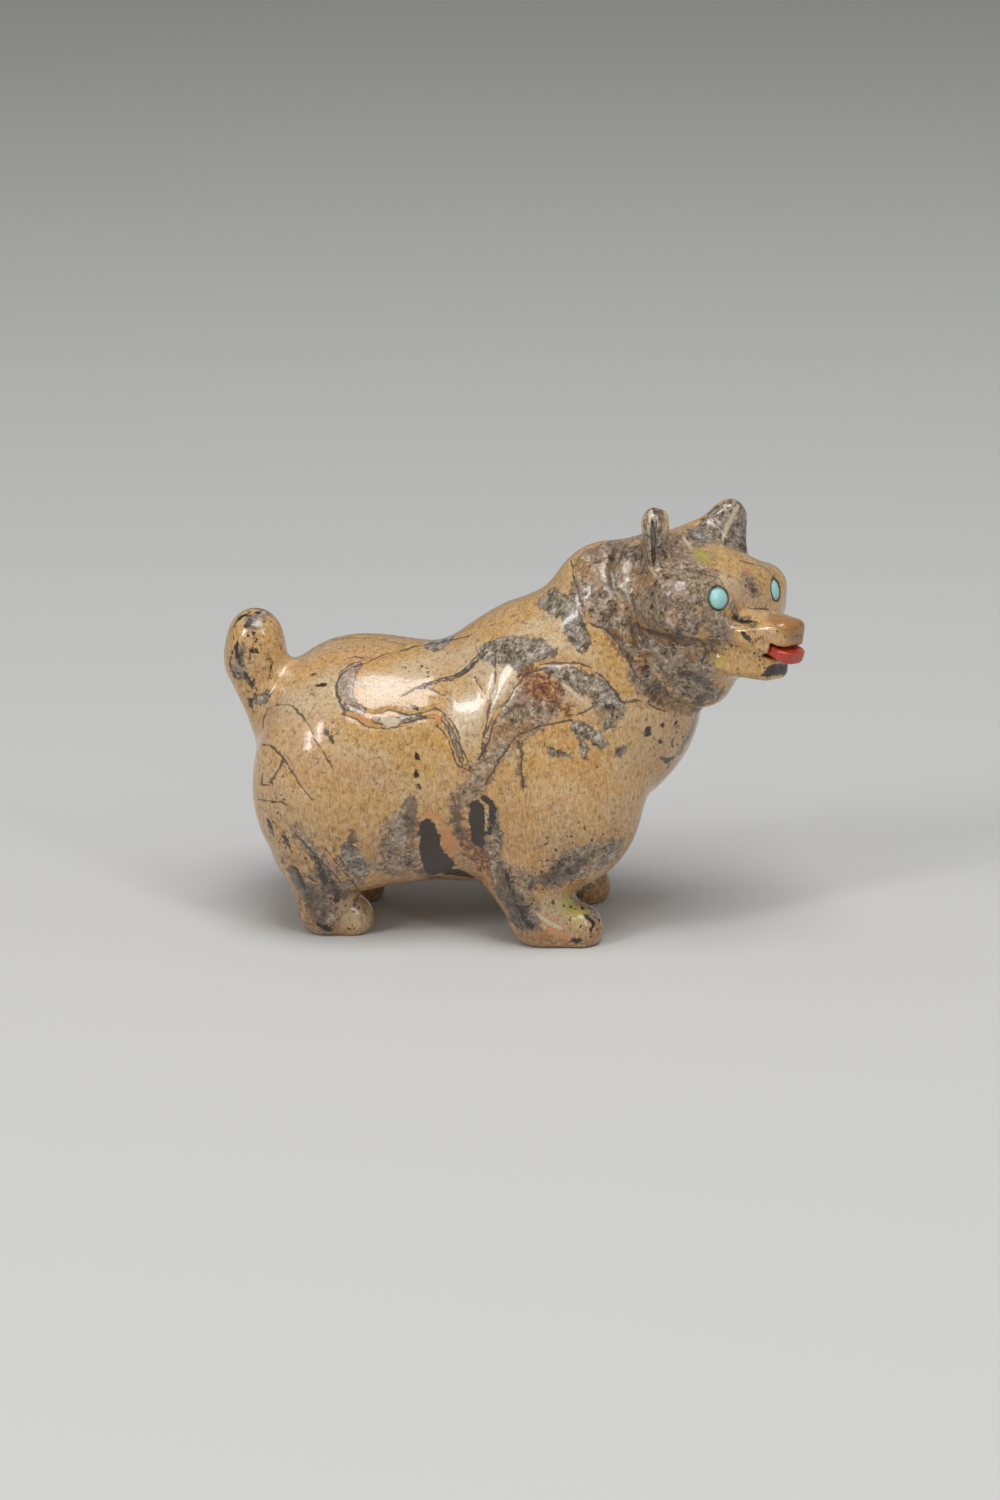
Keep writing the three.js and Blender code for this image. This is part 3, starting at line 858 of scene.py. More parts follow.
class Recipe:
    """A node tree being written."""

    def __init__(self, tree):
        self.tree = tree

    def node(self, kind, settings=None, values=None, output=0):
        """Adds a node, makes its settings, then sets or links its inputs, and returns one output."""
        node = self.tree.nodes.new(kind)
        for key, value in (settings or {}).items():
            setattr(node, key, value)
        for key, value in (values or {}).items():
            if isinstance(value, Wire):
                self.tree.links.new(value.socket, node.inputs[key])
            else:
                node.inputs[key].default_value = value
        return Wire(self, node.outputs[output])

    def mix(self, low, high, share):
        low, high = ((*c, 1) if isinstance(c, tuple) else c for c in (low, high))
        return self.node("ShaderNodeMix", {"data_type": "RGBA"}, {0: share, 6: low, 7: high}, output=2)

    def step(self, value, low, high):
        """0 below low, 1 above high, smooth between; falls instead where low is the greater."""
        values = {0: value, 1: low, 2: high} if low < high else {0: value, 1: high, 2: low, 3: 1, 4: 0}
        return self.node("ShaderNodeMapRange", {"interpolation_type": "SMOOTHSTEP"}, values)

    def noise(self, place, scale, detail=2, rough=0.5, output=0):
        values = {"Vector": place, "Scale": scale, "Detail": detail, "Roughness": rough}
        return self.node("ShaderNodeTexNoise", {}, values, output)

    def cells(self, place, scale, output="Distance"):
        return self.node("ShaderNodeTexVoronoi", {}, {"Vector": place, "Scale": scale}, output)

    def scaled(self, vector, by):
        sizes = (by, by, by) if isinstance(by, (int, float)) else by
        return self.node("ShaderNodeVectorMath", {"operation": "MULTIPLY"}, {0: vector, 1: sizes})

    def shifted(self, vector, by):
        return self.node("ShaderNodeVectorMath", {"operation": "ADD"}, {0: vector, 1: by})

    def object_place(self):
        """The place on the piece, in millimetres."""
        return self.scaled(self.node("ShaderNodeTexCoord", output="Object"), 1 / MM)

    def bump(self, height, strength, depth):
        """Fine relief, its depth in millimetres."""
        values = {"Strength": strength, "Distance": depth * MM, "Height": height}
        return self.node("ShaderNodeBump", {}, values)

    def layered(self, colour, layers):
        """Lays (colour, pattern, low, high, strength) over a colour, each where its pattern nears high."""
        for paint, pattern, low, high, strength in layers:
            colour = self.mix(colour, paint, self.step(pattern, low, high) * strength)
        return colour

    def mark(self, name):
        return self.node("ShaderNodeAttribute", {"attribute_name": name}, output="Fac")

    def ramp(self, value, stops):
        ramp = self.tree.nodes.new("ShaderNodeValToRGB")
        elements = ramp.color_ramp.elements
        for _ in stops[2:]:
            elements.new(1)
        for element, (position, colour) in zip(elements, stops):
            element.position, element.color = position, (*colour, 1)
        self.tree.links.new(value.socket, ramp.inputs[0])
        return Wire(self, ramp.outputs[0])


def new_material(name, kind=Recipe):
    material = bpy.data.materials.new(name)
    material.use_nodes = True
    return material, kind(material.node_tree), material.node_tree.nodes["Principled BSDF"]


def feed(recipe, shader, **sockets):
    """Sets or links the shader's sockets, named with _ for a space."""
    for name, value in sockets.items():
        socket = shader.inputs[name.replace("_", " ")]
        if isinstance(value, Wire):
            recipe.tree.links.new(value.socket, socket)
        else:
            socket.default_value = (*value, 1) if isinstance(value, tuple) else value


# How the edge of each kind of mark runs: how far it spreads, how soft and how ragged it is
EDGES = {
    "cream": (0.2, 1.4, 0.8), "gold": (0.2, 1.4, 0.8), "vein": (0.0, 0.12, 0.22), "matrix": (0.1, 0.6, 1.0),
    "slate": (0.1, 0.3, 0.5), "rust": (0.1, 0.4, 0.7), "orange": (0.05, 0.2, 0.2),
    "brown": (0.05, 0.4, 0.8), "green": (0.1, 0.7, 0.6), "honey": (0.1, 0.6, 0.2),
    "dark": (0.04, 0.12, 0.35), "pale": (0.06, 0.1, 0.16), "specks": (0, 1.6, 0.5),
}


class StoneRecipe(Recipe):
    """The stone's node tree, with the noises that its layers share."""

    def __init__(self, tree):
        super().__init__(tree)
        self.place = self.object_place()
        spread = self.noise(self.place, 0.5, 4, 0.6, output="Color")
        self.wander = self.shifted(spread, (-0.5, -0.5, -0.5))
        self.bent = self.shifted(self.place, self.scaled(self.wander, 2))
        self.broad, self.medium = self.noise(self.bent, 0.11, 3), self.noise(self.bent, 0.45, 5, 0.65)
        self.fine, self.grit = self.noise(self.place, 1.8, 5, 0.7), self.noise(self.place, 5, 3, 0.7)
        self.grain = self.noise(self.scaled(self.place, (3.2, 3.2, 0.7)), 1.4, 3, 0.65)
        self.ragged = (self.medium - 0.5) * 3 + (self.fine - 0.5) * 2.4 + (self.grit - 0.5) * 0.8

    def patch(self, kind):
        """1 inside the marks of a kind, 0 outside."""
        spread, soft, ragged = EDGES[kind]
        return self.step(self.mark(kind) + self.ragged * ragged, spread + soft, spread - soft)

    def rim(self, kind, wide=0.2):
        """1 along the outline of the marks of a kind."""
        return self.step((self.mark(kind) + self.ragged * EDGES[kind][2]).size(), wide, 0.03)


def ground_colour(r, look):
    """Tan and ochre, warmer and darker low down, partly the stone's own colour and partly painted shade,
    with pale panels, golden bands, clouds, crumbs and streaks.
    """
    height = r.node("ShaderNodeSeparateXYZ", {}, {0: r.place}, output="Z")
    flush = r.noise(r.shifted(r.bent, (0, 9, 4)), 0.22, 4, 0.6)
    colour = r.mix(tuple(look.tan), tuple(look.ochre), r.step(r.broad + (r.medium - 0.5) * 0.8, 0.36, 0.62))
    # Partly painted shade: the ground turns to a darker umber towards the soles.
    colour = r.mix(colour, tuple(look.umber_and_low_shade), r.step(height + (r.broad - 0.5) * 20, 20, 2) * 0.8)
    colour = r.mix(colour, tuple(look.cream), r.patch("cream") * 0.9)
    colour = r.mix(colour, tuple(look.gold), r.patch("gold") * 0.8)
    return r.layered(colour, [
        (tone(206, 160, 88), flush, 0.52, 0.66, 0.6),  # golden clouds
        (tone(196, 158, 128), flush, 0.46, 0.34, 0.45),  # rosy clouds
        (tone(214, 186, 146), r.fine, 0.5, 0.68, 0.65),  # pale crumbs
        (tone(118, 80, 44), r.fine, 0.5, 0.32, 0.6),  # brown crumbs
        (tone(226, 202, 164), r.grain, 0.52, 0.7, 0.5),  # pale streaks
        (tone(92, 62, 36), r.grain, 0.47, 0.28, 0.5),  # dark streaks
        (tone(120, 84, 50), r.grit, 0.46, 0.3, 0.35),  # brown grit
    ])


def mark_colours(r, look):
    """The colour and strength of each kind of mark, in the order in which they are laid."""
    veined = r.ramp(r.noise(r.bent, 1.7, 5, 0.75), [
        (0.34, tone(84, 68, 60)), (0.45, tone(140, 120, 106)), (0.55, tone(178, 158, 142)),
        (0.68, tone(216, 202, 186))])
    grains = r.node("ShaderNodeSeparateColor", {}, {0: r.cells(r.bent, 3.2, output="Color")})
    mottle = r.noise(r.place, 0.8, 7, 0.76) + (r.noise(r.place, 3, 2, 0.6) - 0.5) * 0.2
    mottle = mottle + (grains - 0.5) * 0.13
    tint = r.noise(r.shifted(r.bent, (7, 3, 0)), 0.32, 4, 0.6)
    mottled = r.ramp(mottle, [
        (0.36, tone(50, 40, 32)), (0.42, tone(98, 81, 64)), (0.49, tone(142, 121, 98)),
        (0.58, tone(168, 148, 124)), (0.67, tone(208, 194, 172))])
    mottled = r.layered(mottled, [
        (tone(176, 128, 78), tint, 0.51, 0.62, 0.5),  # ochre clouds
        (tone(146, 116, 102), tint, 0.48, 0.38, 0.55),  # rosy clouds
        (tone(44, 35, 28), r.noise(r.place, 2.4, 4, 0.7), 0.44, 0.34, 0.7),  # dark crumbs
        (tone(206, 190, 166), grains, 0.8, 0.95, 0.3),  # pale grains
    ])
    slaty = r.ramp(mottle, [
        (0.38, tone(50, 44, 38)), (0.45, tone(108, 99, 88)), (0.53, tone(148, 138, 124)),
        (0.66, tone(208, 198, 182))])
    rusty = r.ramp(r.noise(r.bent, 1.8, 6, 0.8), [
        (0.4, tone(34, 22, 16)), (0.46, tone(100, 56, 30)), (0.53, tone(164, 100, 54)),
        (0.62, tone(206, 170, 120))])
    honeyed = r.step(r.medium + (r.fine - 0.5) * 0.6, 0.3, 0.44)
    return {
        "vein": (veined, 0.85), "matrix": (mottled, 1), "slate": (slaty, 0.9), "rust": (rusty, 0.85),
        "orange": (tone(204, 140, 88), 0.85),
        # Brown is darker mottled stone, and also painted shade where its strokes lie under the belly and in
        # a fold of the hind leg.
        "brown": (r.mix(mottled, tone(60, 46, 34), 0.7), 0.85),
        "green": (tone(188, 172, 78), 0.75),
        "honey": (r.mix(tone(104, 52, 34), tone(168, 116, 66), honeyed), 0.95),
        # Dark is black inclusions, and also painted shade where its strokes lie in hollows and under the
        # belly.
        "dark": (tuple(look.black), 0.95),
    }


def speckle(r):
    """Small dark specks, closer together where the photograph shows a crowd of them."""
    scattered = r.shifted(r.place, r.scaled(r.wander, 1.5))
    chance = r.node("ShaderNodeSeparateColor", {}, {0: r.cells(scattered, 1.7, output="Color")})
    reach = (chance - 0.64 + r.patch("specks") * 0.46) * 0.5
    return r.step(reach - r.cells(scattered, 1.7) - (r.grit - 0.5) * 0.7, -0.03, 0.05)


def crack_lines(r):
    """Thin lines that waver about the cracks' middle lines and change in width."""
    side = r.mark("crack_side") + (r.noise(r.place, 1.1, 4, 0.7) - 0.5) * 0.7
    width = 0.01 + (r.noise(r.place, 0.8, 4, 0.65) - 0.42) * 0.6
    return r.step(side.size() - width, 0.08, 0.0) * r.step(r.mark("crack"), 0.5, 0.3)


def stone_material(look):
    """Polished ochre stone with veins, mottled matrix, grey, rust and dark inclusions, with painted shade
    in its grooves, hollows and underside and painted highlights along some ridges.
    """
    material, r, shader = new_material("mottled_stone", StoneRecipe)
    colour = ground_colour(r, look)
    for kind, (paint, strength) in mark_colours(r, look).items():
        colour = r.mix(colour, paint, r.patch(kind) * strength)
    outline = (r.rim("matrix") * 0.25).most(r.rim("vein", 0.14) * 0.7).most(r.rim("slate") * 0.45)
    colour = r.mix(colour, tone(62, 48, 38), outline)
    # Pale veins, and painted highlights where pale strokes follow ridges of the ear, cheek and fore paw and
    # a crack by the shoulder.
    colour = r.mix(colour, tone(212, 196, 168), r.patch("pale") * (0.35 + r.fine))

    # Painted shade: the colour darkens along the grooves of cheek, lip, throat and ruff.
    groove_shade = r.step(r.mark("fold") + (r.fine - 0.5) * 1.2, 0.5, -0.3)
    speck, crack = speckle(r), crack_lines(r)
    dust = r.step(r.noise(r.place, 3.8, 3, 0.7) + (r.medium - 0.5) * 0.5, 0.38, 0.3)
    colour = r.mix(colour, tone(66, 42, 32), groove_shade * 0.85)
    colour = r.mix(colour, tone(36, 26, 19), speck * 0.9)
    colour = r.mix(colour, tone(82, 58, 38), dust * 0.6)
    colour = r.mix(colour, tone(64, 47, 36), crack * 0.8)

    matrix = r.patch("matrix")
    polish = 0.16 + (r.fine - 0.5) * 0.25 + crack * 0.2 + speck * 0.15 + groove_shade * 0.4
    relief = (r.grit - 0.5) * 0.15 + (r.grain - 0.5) * 0.6 + (r.medium - 0.5) * 1.2
    relief = relief - crack * 0.9 - speck * 0.6
    relief = relief + (r.fine - 0.5) * (0.4 + matrix * 0.8) + (r.medium - 0.5) * matrix * 3
    feed(r, shader, Base_Color=colour, Roughness=polish, Normal=r.bump(relief, 0.5, 0.08))
    feed(r, shader, Coat_Weight=0.5, Coat_Roughness=0.07, Specular_IOR_Level=0.5)
    return material


def turquoise_material(look):
    """Pale blue stone with lighter clouds and greener flecks."""
    material, r, shader = new_material("turquoise_inlay")
    place = r.object_place()
    cloud, fleck = r.noise(place, 0.9, 4, 0.6), r.noise(place, 4.5, 3, 0.6)
    colour = r.layered(tuple(look.turquoise), [
        (tone(184, 228, 224), cloud, 0.4, 0.7, 0.5), (tone(110, 176, 160), fleck, 0.6, 0.75, 0.5)])
    feed(r, shader, Base_Color=colour, Roughness=0.22 + cloud * 0.1, Normal=r.bump(fleck, 0.2, 0.03),
         Coat_Weight=0.3)
    return material


def coral_material(look):
    """Red coral with paler clouds and a dark grain along the tongue."""
    material, r, shader = new_material("red_coral_inlay")
    place = r.object_place()
    cloud, grain = r.noise(place, 0.7, 4, 0.6), r.noise(r.scaled(place, (1, 1, 3)), 3.5, 3, 0.6)
    colour = r.layered(tuple(look.coral), [
        (tone(214, 104, 78), cloud, 0.45, 0.75, 0.7), (tone(126, 30, 20), grain, 0.5, 0.3, 0.5)])
    feed(r, shader, Base_Color=colour, Roughness=0.2 + grain * 0.12, Normal=r.bump(grain, 0.3, 0.04),
         Coat_Weight=0.4)
    return material


def glue_material():
    """Dark brown glue, clouded with stone dust."""
    material, r, shader = new_material("dark_glue")
    colour = r.mix(tone(52, 42, 33), tone(112, 94, 72), r.noise(r.object_place(), 2.5, 3))
    feed(r, shader, Base_Color=colour, Roughness=0.3)
    return material


# Geometry node trees
SEAT_INPUTS = (("Seat", "Vector", None), ("Turn", "Vector", None), ("Material", "Material", None))


def new_geometry_tree(name, inputs):
    """A tree with one geometry in and out, and named inputs of (name, kind, default)."""
    tree = bpy.data.node_groups.new(name, "GeometryNodeTree")
    tree.is_modifier = True
    tree.interface.new_socket("Geometry", in_out="INPUT", socket_type="NodeSocketGeometry")
    tree.interface.new_socket("Geometry", in_out="OUTPUT", socket_type="NodeSocketGeometry")
    for label, kind, default in inputs:
        socket = tree.interface.new_socket(label, in_out="INPUT", socket_type="NodeSocket" + kind)
        if default is not None:
            socket.default_value = default
    recipe = Recipe(tree)
    entry = tree.nodes.new("NodeGroupInput")
    wires = {socket.name: Wire(recipe, socket) for socket in entry.outputs if socket.name}
    return tree, recipe, wires


def close_tree(recipe, geometry, material):
    """Every tree ends in Realize Instances and Set Material."""
    solid = recipe.node("GeometryNodeRealizeInstances", {}, {"Geometry": geometry})
    dressed = recipe.node("GeometryNodeSetMaterial", {}, {"Geometry": solid, "Material": material})
    out = recipe.tree.nodes.new("NodeGroupOutput")
    recipe.tree.links.new(dressed.socket, out.inputs[0])


def seat_and_close(r, geometry, rise, given):
    """Raises a form along its own axis, turns it and sets it on its seat."""
    offset = r.node("ShaderNodeCombineXYZ", {}, {"Z": rise})
    raised = r.node("GeometryNodeSetPosition", {}, {"Geometry": geometry, "Offset": offset})
    smooth_shaded = r.node("GeometryNodeSetShadeSmooth", {}, {"Geometry": raised})
    turn = r.node("FunctionNodeEulerToRotation", {}, {"Euler": given["Turn"]})
    seated = r.node("GeometryNodeTransform", {}, {
        "Geometry": smooth_shaded, "Translation": given["Seat"], "Rotation": turn})
    close_tree(r, seated, given["Material"])


def apply_tree(name, start, tree, values):
    """Runs the tree on a start mesh and returns its result as a plain object."""
    host = in_scene("host", start)
    modifier = host.modifiers.new("nodes", "NODES")
    modifier.node_group = tree
    identifiers = {s.name: s.identifier for s in tree.interface.items_tree if s.in_out == "INPUT"}
    for label, value in values.items():
        modifier[identifiers[label]] = value
    host.update_tag()
    bpy.context.view_layer.update()
    made = host.evaluated_get(bpy.context.evaluated_depsgraph_get())
    mesh = bpy.data.meshes.new_from_object(made)
    host.modifiers.clear()
    bpy.data.objects.remove(host)
    return in_scene(name, mesh)


def in_scene(name, data):
    """A new object of a mesh, light or camera, in the scene."""
    data.name = name
    thing = bpy.data.objects.new(name, data)
    bpy.context.scene.collection.objects.link(thing)
    return thing


def relief_tree():
    """Fine carving and wear: grooves along the cracks, pits in the matrix, a faint hand-worked waviness."""
    tree, r, given = new_geometry_tree("Stone Relief", [
        ("Crack Depth", "Float", 0.08), ("Pit Depth", "Float", 0.1), ("Wave", "Float", 0.12),
        ("Material", "Material", None)])
    named = lambda name: r.node("GeometryNodeInputNamedAttribute", {"data_type": "FLOAT"}, {"Name": name})
    place = r.scaled(r.node("GeometryNodeInputPosition"), 1 / MM)
    wave = (r.noise(place, 0.22, 2) - 0.5) * given["Wave"] * r.step(named("fine_work"), 0.5, 0.0)
    pits = r.step(r.noise(place, 1.3, 3, 0.6), 0.48, 0.3) * r.step(named("matrix"), 0.3, -0.5)
    groove_depth = r.step(named("crack"), 0.3, -0.1) * given["Crack Depth"]
    rise = wave - pits * given["Pit Depth"] - groove_depth
    above_sole = r.step(r.node("ShaderNodeSeparateXYZ", {}, {0: place}, output="Z"), 0.02, 0.5)
    offset = r.node("GeometryNodeInputNormal")
    for length in (rise * MM, above_sole):
        offset = r.node("ShaderNodeVectorMath", {"operation": "SCALE"}, {0: offset, "Scale": length})
    moved = r.node("GeometryNodeSetPosition", {}, {"Geometry": given["Geometry"], "Offset": offset})
    close_tree(r, moved, given["Material"])
    return tree


def eye_tree():
    """A domed disc, from a drum whose top rises towards its middle and whose rim is eased."""
    tree, r, given = new_geometry_tree("Eye Inlay", [
        ("Diameter", "Float", EYE_DIAMETER), ("Depth", "Float", EYE_DEPTH), ("Dome", "Float", EYE_DOME),
        ("Proud", "Float", EYE_PROUD), ("Sides", "Int", EYE_SIDES), *SEAT_INPUTS])
    radius, depth = given["Diameter"] * (MM / 2), given["Depth"] * MM
    drum = r.node("GeometryNodeMeshCylinder", {}, {
        "Vertices": given["Sides"], "Side Segments": 6, "Fill Segments": 10, "Radius": radius,
        "Depth": depth})
    place = r.node("GeometryNodeInputPosition")
    x, y, z = (r.node("ShaderNodeSeparateXYZ", {}, {0: place}, output=i) for i in range(3))
    reach = (x * x + y * y) / (radius * radius)
    on_top = r.step(z / depth, 0.4, 0.49)
    lift = (1 - reach.least(1)) * given["Dome"] * MM * on_top - reach.most(0.8) * depth * on_top * 0.04
    sink = (given["Proud"] - given["Dome"]) * MM - depth / 2
    seat_and_close(r, drum, lift + sink, given)
    return tree


def glue_tree():
    """A bead of dark glue that follows the ring between an eye and its socket."""
    tree, r, given = new_geometry_tree("Glue Bead", [
        ("Diameter", "Float", EYE_DIAMETER), ("Bead", "Float", 0.12), ("Height", "Float", 0.0),
        *SEAT_INPUTS])
    path, profile = (
        r.node("GeometryNodeCurvePrimitiveCircle", {}, {
            "Resolution": sides, "Radius": given[diameter] * (MM / 2)})
        for diameter, sides in (("Diameter", EYE_SIDES), ("Bead", 10)))
    bead = r.node("GeometryNodeCurveToMesh", {}, {"Curve": path, "Profile Curve": profile})
    seat_and_close(r, bead, given["Height"] * MM, given)
    return tree


# Pieces
class Placing:
    """How the carver's millimetres lie in the frame, settled once the stone is meshed."""

    scale, shift = 1.0, np.zeros(3)

    @classmethod
    def metres(cls, points):
        return (points * cls.scale + cls.shift) * MM

    @classmethod
    def matrix(cls, own):
        """The frame's matrix, in metres, for a frame of the carver's."""
        placed = own.copy()
        placed[:3, 3] = cls.metres(own[:3, 3])
        return Matrix(placed.tolist())


STOPS = (  # where along each axis the mesh's rows get closer: (from, step)
    ((-35, 0.42), (13, 0.25), (36, 0)),
    ((-17, 0.36), (-13, 0.27), (8, 0.36), (17, 0)),
    ((-1, 0.34), (6, 0.42), (27, 0.27), (46, 0.24), (50, 0)),
)


def carve_stone(look):
    """The stone: the carver's form meshed, marked with the photograph's strokes, then given its relief."""
    form = carving()
    lines = [grid_lines(stops) for stops in STOPS]
    points, quads = polygonise(sample(form, lines), lines)
    points = relax(form, points, quads)
    fold = posed(HEAD, folds())(points)
    Placing.scale, Placing.shift = to_frame(points)
    points = Placing.metres(points)

    mesh = bpy.data.meshes.new("stone")
    mesh.from_pydata(points.tolist(), [], quads.tolist())
    mesh.update()
    tree = BVHTree.FromPolygons((points / MM).tolist(), quads.tolist())
    mark_stone(mesh, tree)
    write(mesh, "fold", fold)
    write(mesh, "fine_work", near_fine_work(points))
    stone = apply_tree("stone_bear_carved", mesh, relief_tree(), {
        "Crack Depth": look.crack_depth, "Pit Depth": look.pit_depth, "Wave": look.wave,
        "Material": stone_material(look)})
    stone.data.shade_smooth()
    return stone


def near_fine_work(points):
    """1 at the sockets and the mouth, where the stone is cut to fit an inlay, 0 a little way off."""
    seats = [Placing.metres(m[:3, 3]) for m in (*EYES.values(), HEAD @ MOUTH)]
    gap = np.min([np.linalg.norm(points - seat, axis=1) for seat in seats], axis=0) / MM
    return np.clip(1 - (gap - EYE_DIAMETER) / EYE_DIAMETER, 0, 1)


def set_eye(name, inlay):
    """One eye and its ring of glue."""
    matrix = Placing.matrix(EYES[name])
    place = {"Seat": tuple(matrix.translation), "Turn": tuple(matrix.to_euler())}
    blank = bpy.data.meshes.new("blank")
    eye = apply_tree(f"{name}_inlay", blank, eye_tree(), {
        "Diameter": inlay.eye_diameter, "Depth": EYE_DEPTH, "Dome": inlay.eye_dome,
        "Proud": EYE_PROUD, "Sides": EYE_SIDES, "Material": turquoise_material(inlay), **place})
    ring = apply_tree(f"{name}_glue", blank, glue_tree(), {
        "Diameter": inlay.eye_diameter + inlay.glue_width / 2, "Bead": inlay.glue_width,
        "Height": GLUE_HEIGHT, "Material": glue_material(), **place})
    return eye, ring


def carve_tongue():
    """The tongue: rings across its length, square with soft corners, hollowed a little along its top."""
    mesh = bmesh.new()
    matrix = Placing.matrix(HEAD @ MOUTH)
    rows = []
    for i in range(TONGUE_RINGS + 1):
        turn = math.pi * i / TONGUE_RINGS
        x = TONGUE_LENGTH * (1 - math.cos(turn)) / 2
        half = tongue_half_width(x)
        from_tip = x - (TONGUE_LENGTH - TONGUE_CORNER)
        if from_tip > 0:
            half -= TONGUE_CORNER - math.sqrt(max(TONGUE_CORNER ** 2 - from_tip ** 2, 0))
        full = min(1, math.sin(turn) * 6) ** 0.5  # 0 at both ends, 1 a short way from them
        thick = TONGUE_THICKNESS / 2 * (0.55 + 0.45 * full)
        row = []
        for k in range(TONGUE_SIDES):
            a = math.tau * k / TONGUE_SIDES
            across, rise = (math.copysign(abs(v) ** SQUARED, v) for v in (math.cos(a), math.sin(a)))
            hollow = TONGUE_HOLLOW * (1 - across ** 2) * max(rise, 0) * full
            at = Vector((x, across * half, rise * thick - hollow)) * MM
            row.append(mesh.verts.new(matrix @ at))
        rows.append(row)
    around = [(k, (k + 1) % TONGUE_SIDES) for k in range(TONGUE_SIDES)]
    for a, b in zip(rows, rows[1:]):
        for k, after in around:
            mesh.faces.new((a[k], b[k], b[after], a[after]))
    for row in (rows[0], rows[-1]):
        middle = mesh.verts.new(sum((v.co for v in row), Vector()) / TONGUE_SIDES)
        for k, after in around:
            mesh.faces.new((row[k], row[after], middle))
    bmesh.ops.recalc_face_normals(mesh, faces=mesh.faces)
    data = bpy.data.meshes.new("tongue")
    mesh.to_mesh(data)
    mesh.free()
    tongue = in_scene("tongue_inlay", data)
    tongue.data.shade_smooth()
    return tongue


def join_frame(piece, slot, *nodes):
    """The piece rides on the one body and stands for its CAD nodes."""
    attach(piece, "root")
    if nodes:
        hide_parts(*nodes)


# The stage
STAGE_CENTRE = (0, 0, 0.02)


def aim(thing, target):
    thing.rotation_euler = (Vector(target) - thing.location).to_track_quat("-Z", "Y").to_euler()


def softbox(name, at, size, power):
    """A rectangular light that looks at the bear; places and sizes are in metres."""
    data = bpy.data.lights.new(name, "AREA")
    data.shape, data.size, data.size_y, data.energy = "RECTANGLE", *size, power
    light = in_scene(name, data)
    light.location = at
    aim(light, STAGE_CENTRE)


def set_camera():
    """The camera stands where the photograph's stood and frames the bear as it did."""
    data = bpy.data.cameras.new("camera")
    data.sensor_fit, data.sensor_height = "VERTICAL", 36
    data.lens = PIXELS_PER_MM * data.sensor_height * DISTANCE / PHOTO_HEIGHT
    data.shift_x = (PHOTO_WIDTH / 2 - TARGET_PIXEL[0]) / PHOTO_HEIGHT
    data.shift_y = (TARGET_PIXEL[1] - PHOTO_HEIGHT / 2) / PHOTO_HEIGHT
    data.clip_start = 0.01
    camera = in_scene("camera", data)
    camera.location = camera_place() * MM
    aim(camera, Vector(TARGET) * MM)
    bpy.context.scene.camera = camera


def set_floor(stage):
    mesh = bpy.data.meshes.new("floor")
    half = stage.floor_size / 2
    corners = [(x * half, y * half, 0) for x, y in ((-1, -1), (1, -1), (1, 1), (-1, 1))]
    mesh.from_pydata(corners, [], [(0, 1, 2, 3)])
    floor = in_scene("floor", mesh)
    material, r, shader = new_material("pale_floor")
    feed(r, shader, Base_Color=tuple(stage.floor_colour), Roughness=0.85)
    mesh.materials.append(material)


# Settings
def colour_setting(name, description, default):
    return FloatVectorProperty(name=name, description=description, subtype="COLOR", size=3, min=0,
                               max=1, default=default)


def size_setting(name, description, default, most, least=0):
    description += ", in mm"
    return FloatProperty(name=name, description=description, default=default, min=least, max=most)


def power_setting(name, description, default):
    return FloatProperty(name=name, description=description, subtype="POWER", default=default, min=0)


class StoneSettings(bpy.types.PropertyGroup):
    tan: colour_setting("Tan", "Lighter ground colour of the stone", tone(206, 169, 119))
    ochre: colour_setting("Ochre", "Main ground colour of the stone", tone(200, 152, 91))
    # Umber is partly the stone's own warmer colour and partly painted shade low on the legs and belly.
    umber_and_low_shade: colour_setting("Umber", "Warmer colour low on the legs and belly", tone(158, 112, 66))
    cream: colour_setting("Cream", "Pale panels on flank and hip", tone(206, 182, 146))
    gold: colour_setting("Gold", "Golden bands along the back and collar", tone(196, 154, 88))
    # Black paints the dark inclusions and also the painted shade in hollows and under the belly.
    black: colour_setting("Black", "Smooth dark inclusions", tone(28, 21, 19))
    crack_depth: size_setting("Crack depth", "Depth of the grooves along cracks", 0.08, most=0.5)
    pit_depth: size_setting("Pit depth", "Depth of the pits in the matrix", 0.1, most=0.5)
    wave: size_setting("Wave", "Height of the hand-worked waviness", 0.12, most=1)


class InlaySettings(bpy.types.PropertyGroup):
    eye_diameter: size_setting("Eye diameter", "Width of each eye inlay", EYE_DIAMETER, most=4, least=1)
    eye_dome: size_setting("Eye dome", "How far the eye's top rises over its rim", EYE_DOME, most=1)
    glue_width: size_setting("Glue width", "Width of the dark glue ring", 0.12, most=0.5, least=0.05)
    turquoise: colour_setting("Turquoise", "Colour of the eye inlays", tone(164, 218, 214))
    coral: colour_setting("Coral", "Colour of the tongue inlay", tone(186, 58, 38))


class StageSettings(bpy.types.PropertyGroup):
    floor_colour: colour_setting("Floor colour", "Plain pale floor", (0.62, 0.62, 0.61))
    floor_size: FloatProperty(name="Floor size", description="Side of the square floor", subtype="DISTANCE",
                              default=6, min=0.5)
    key_power: power_setting("Key power", "Main softbox", 1.4)
    fill_power: power_setting("Fill power", "Strip light on the other side", 0.7)
    top_power: power_setting("Top power", "Softbox overhead", 5)
    sky: FloatProperty(name="Sky", description="Strength of the plain surrounding light", default=0.22,
                       min=0)


class BearSettings(bpy.types.PropertyGroup):
    stone: PointerProperty(type=StoneSettings, name="Stone", description="The carved stone's look")
    inlays: PointerProperty(type=InlaySettings, name="Inlays", description="Eyes, tongue and glue")
    stage: PointerProperty(type=StageSettings, name="Stage", description="Floor and lights")


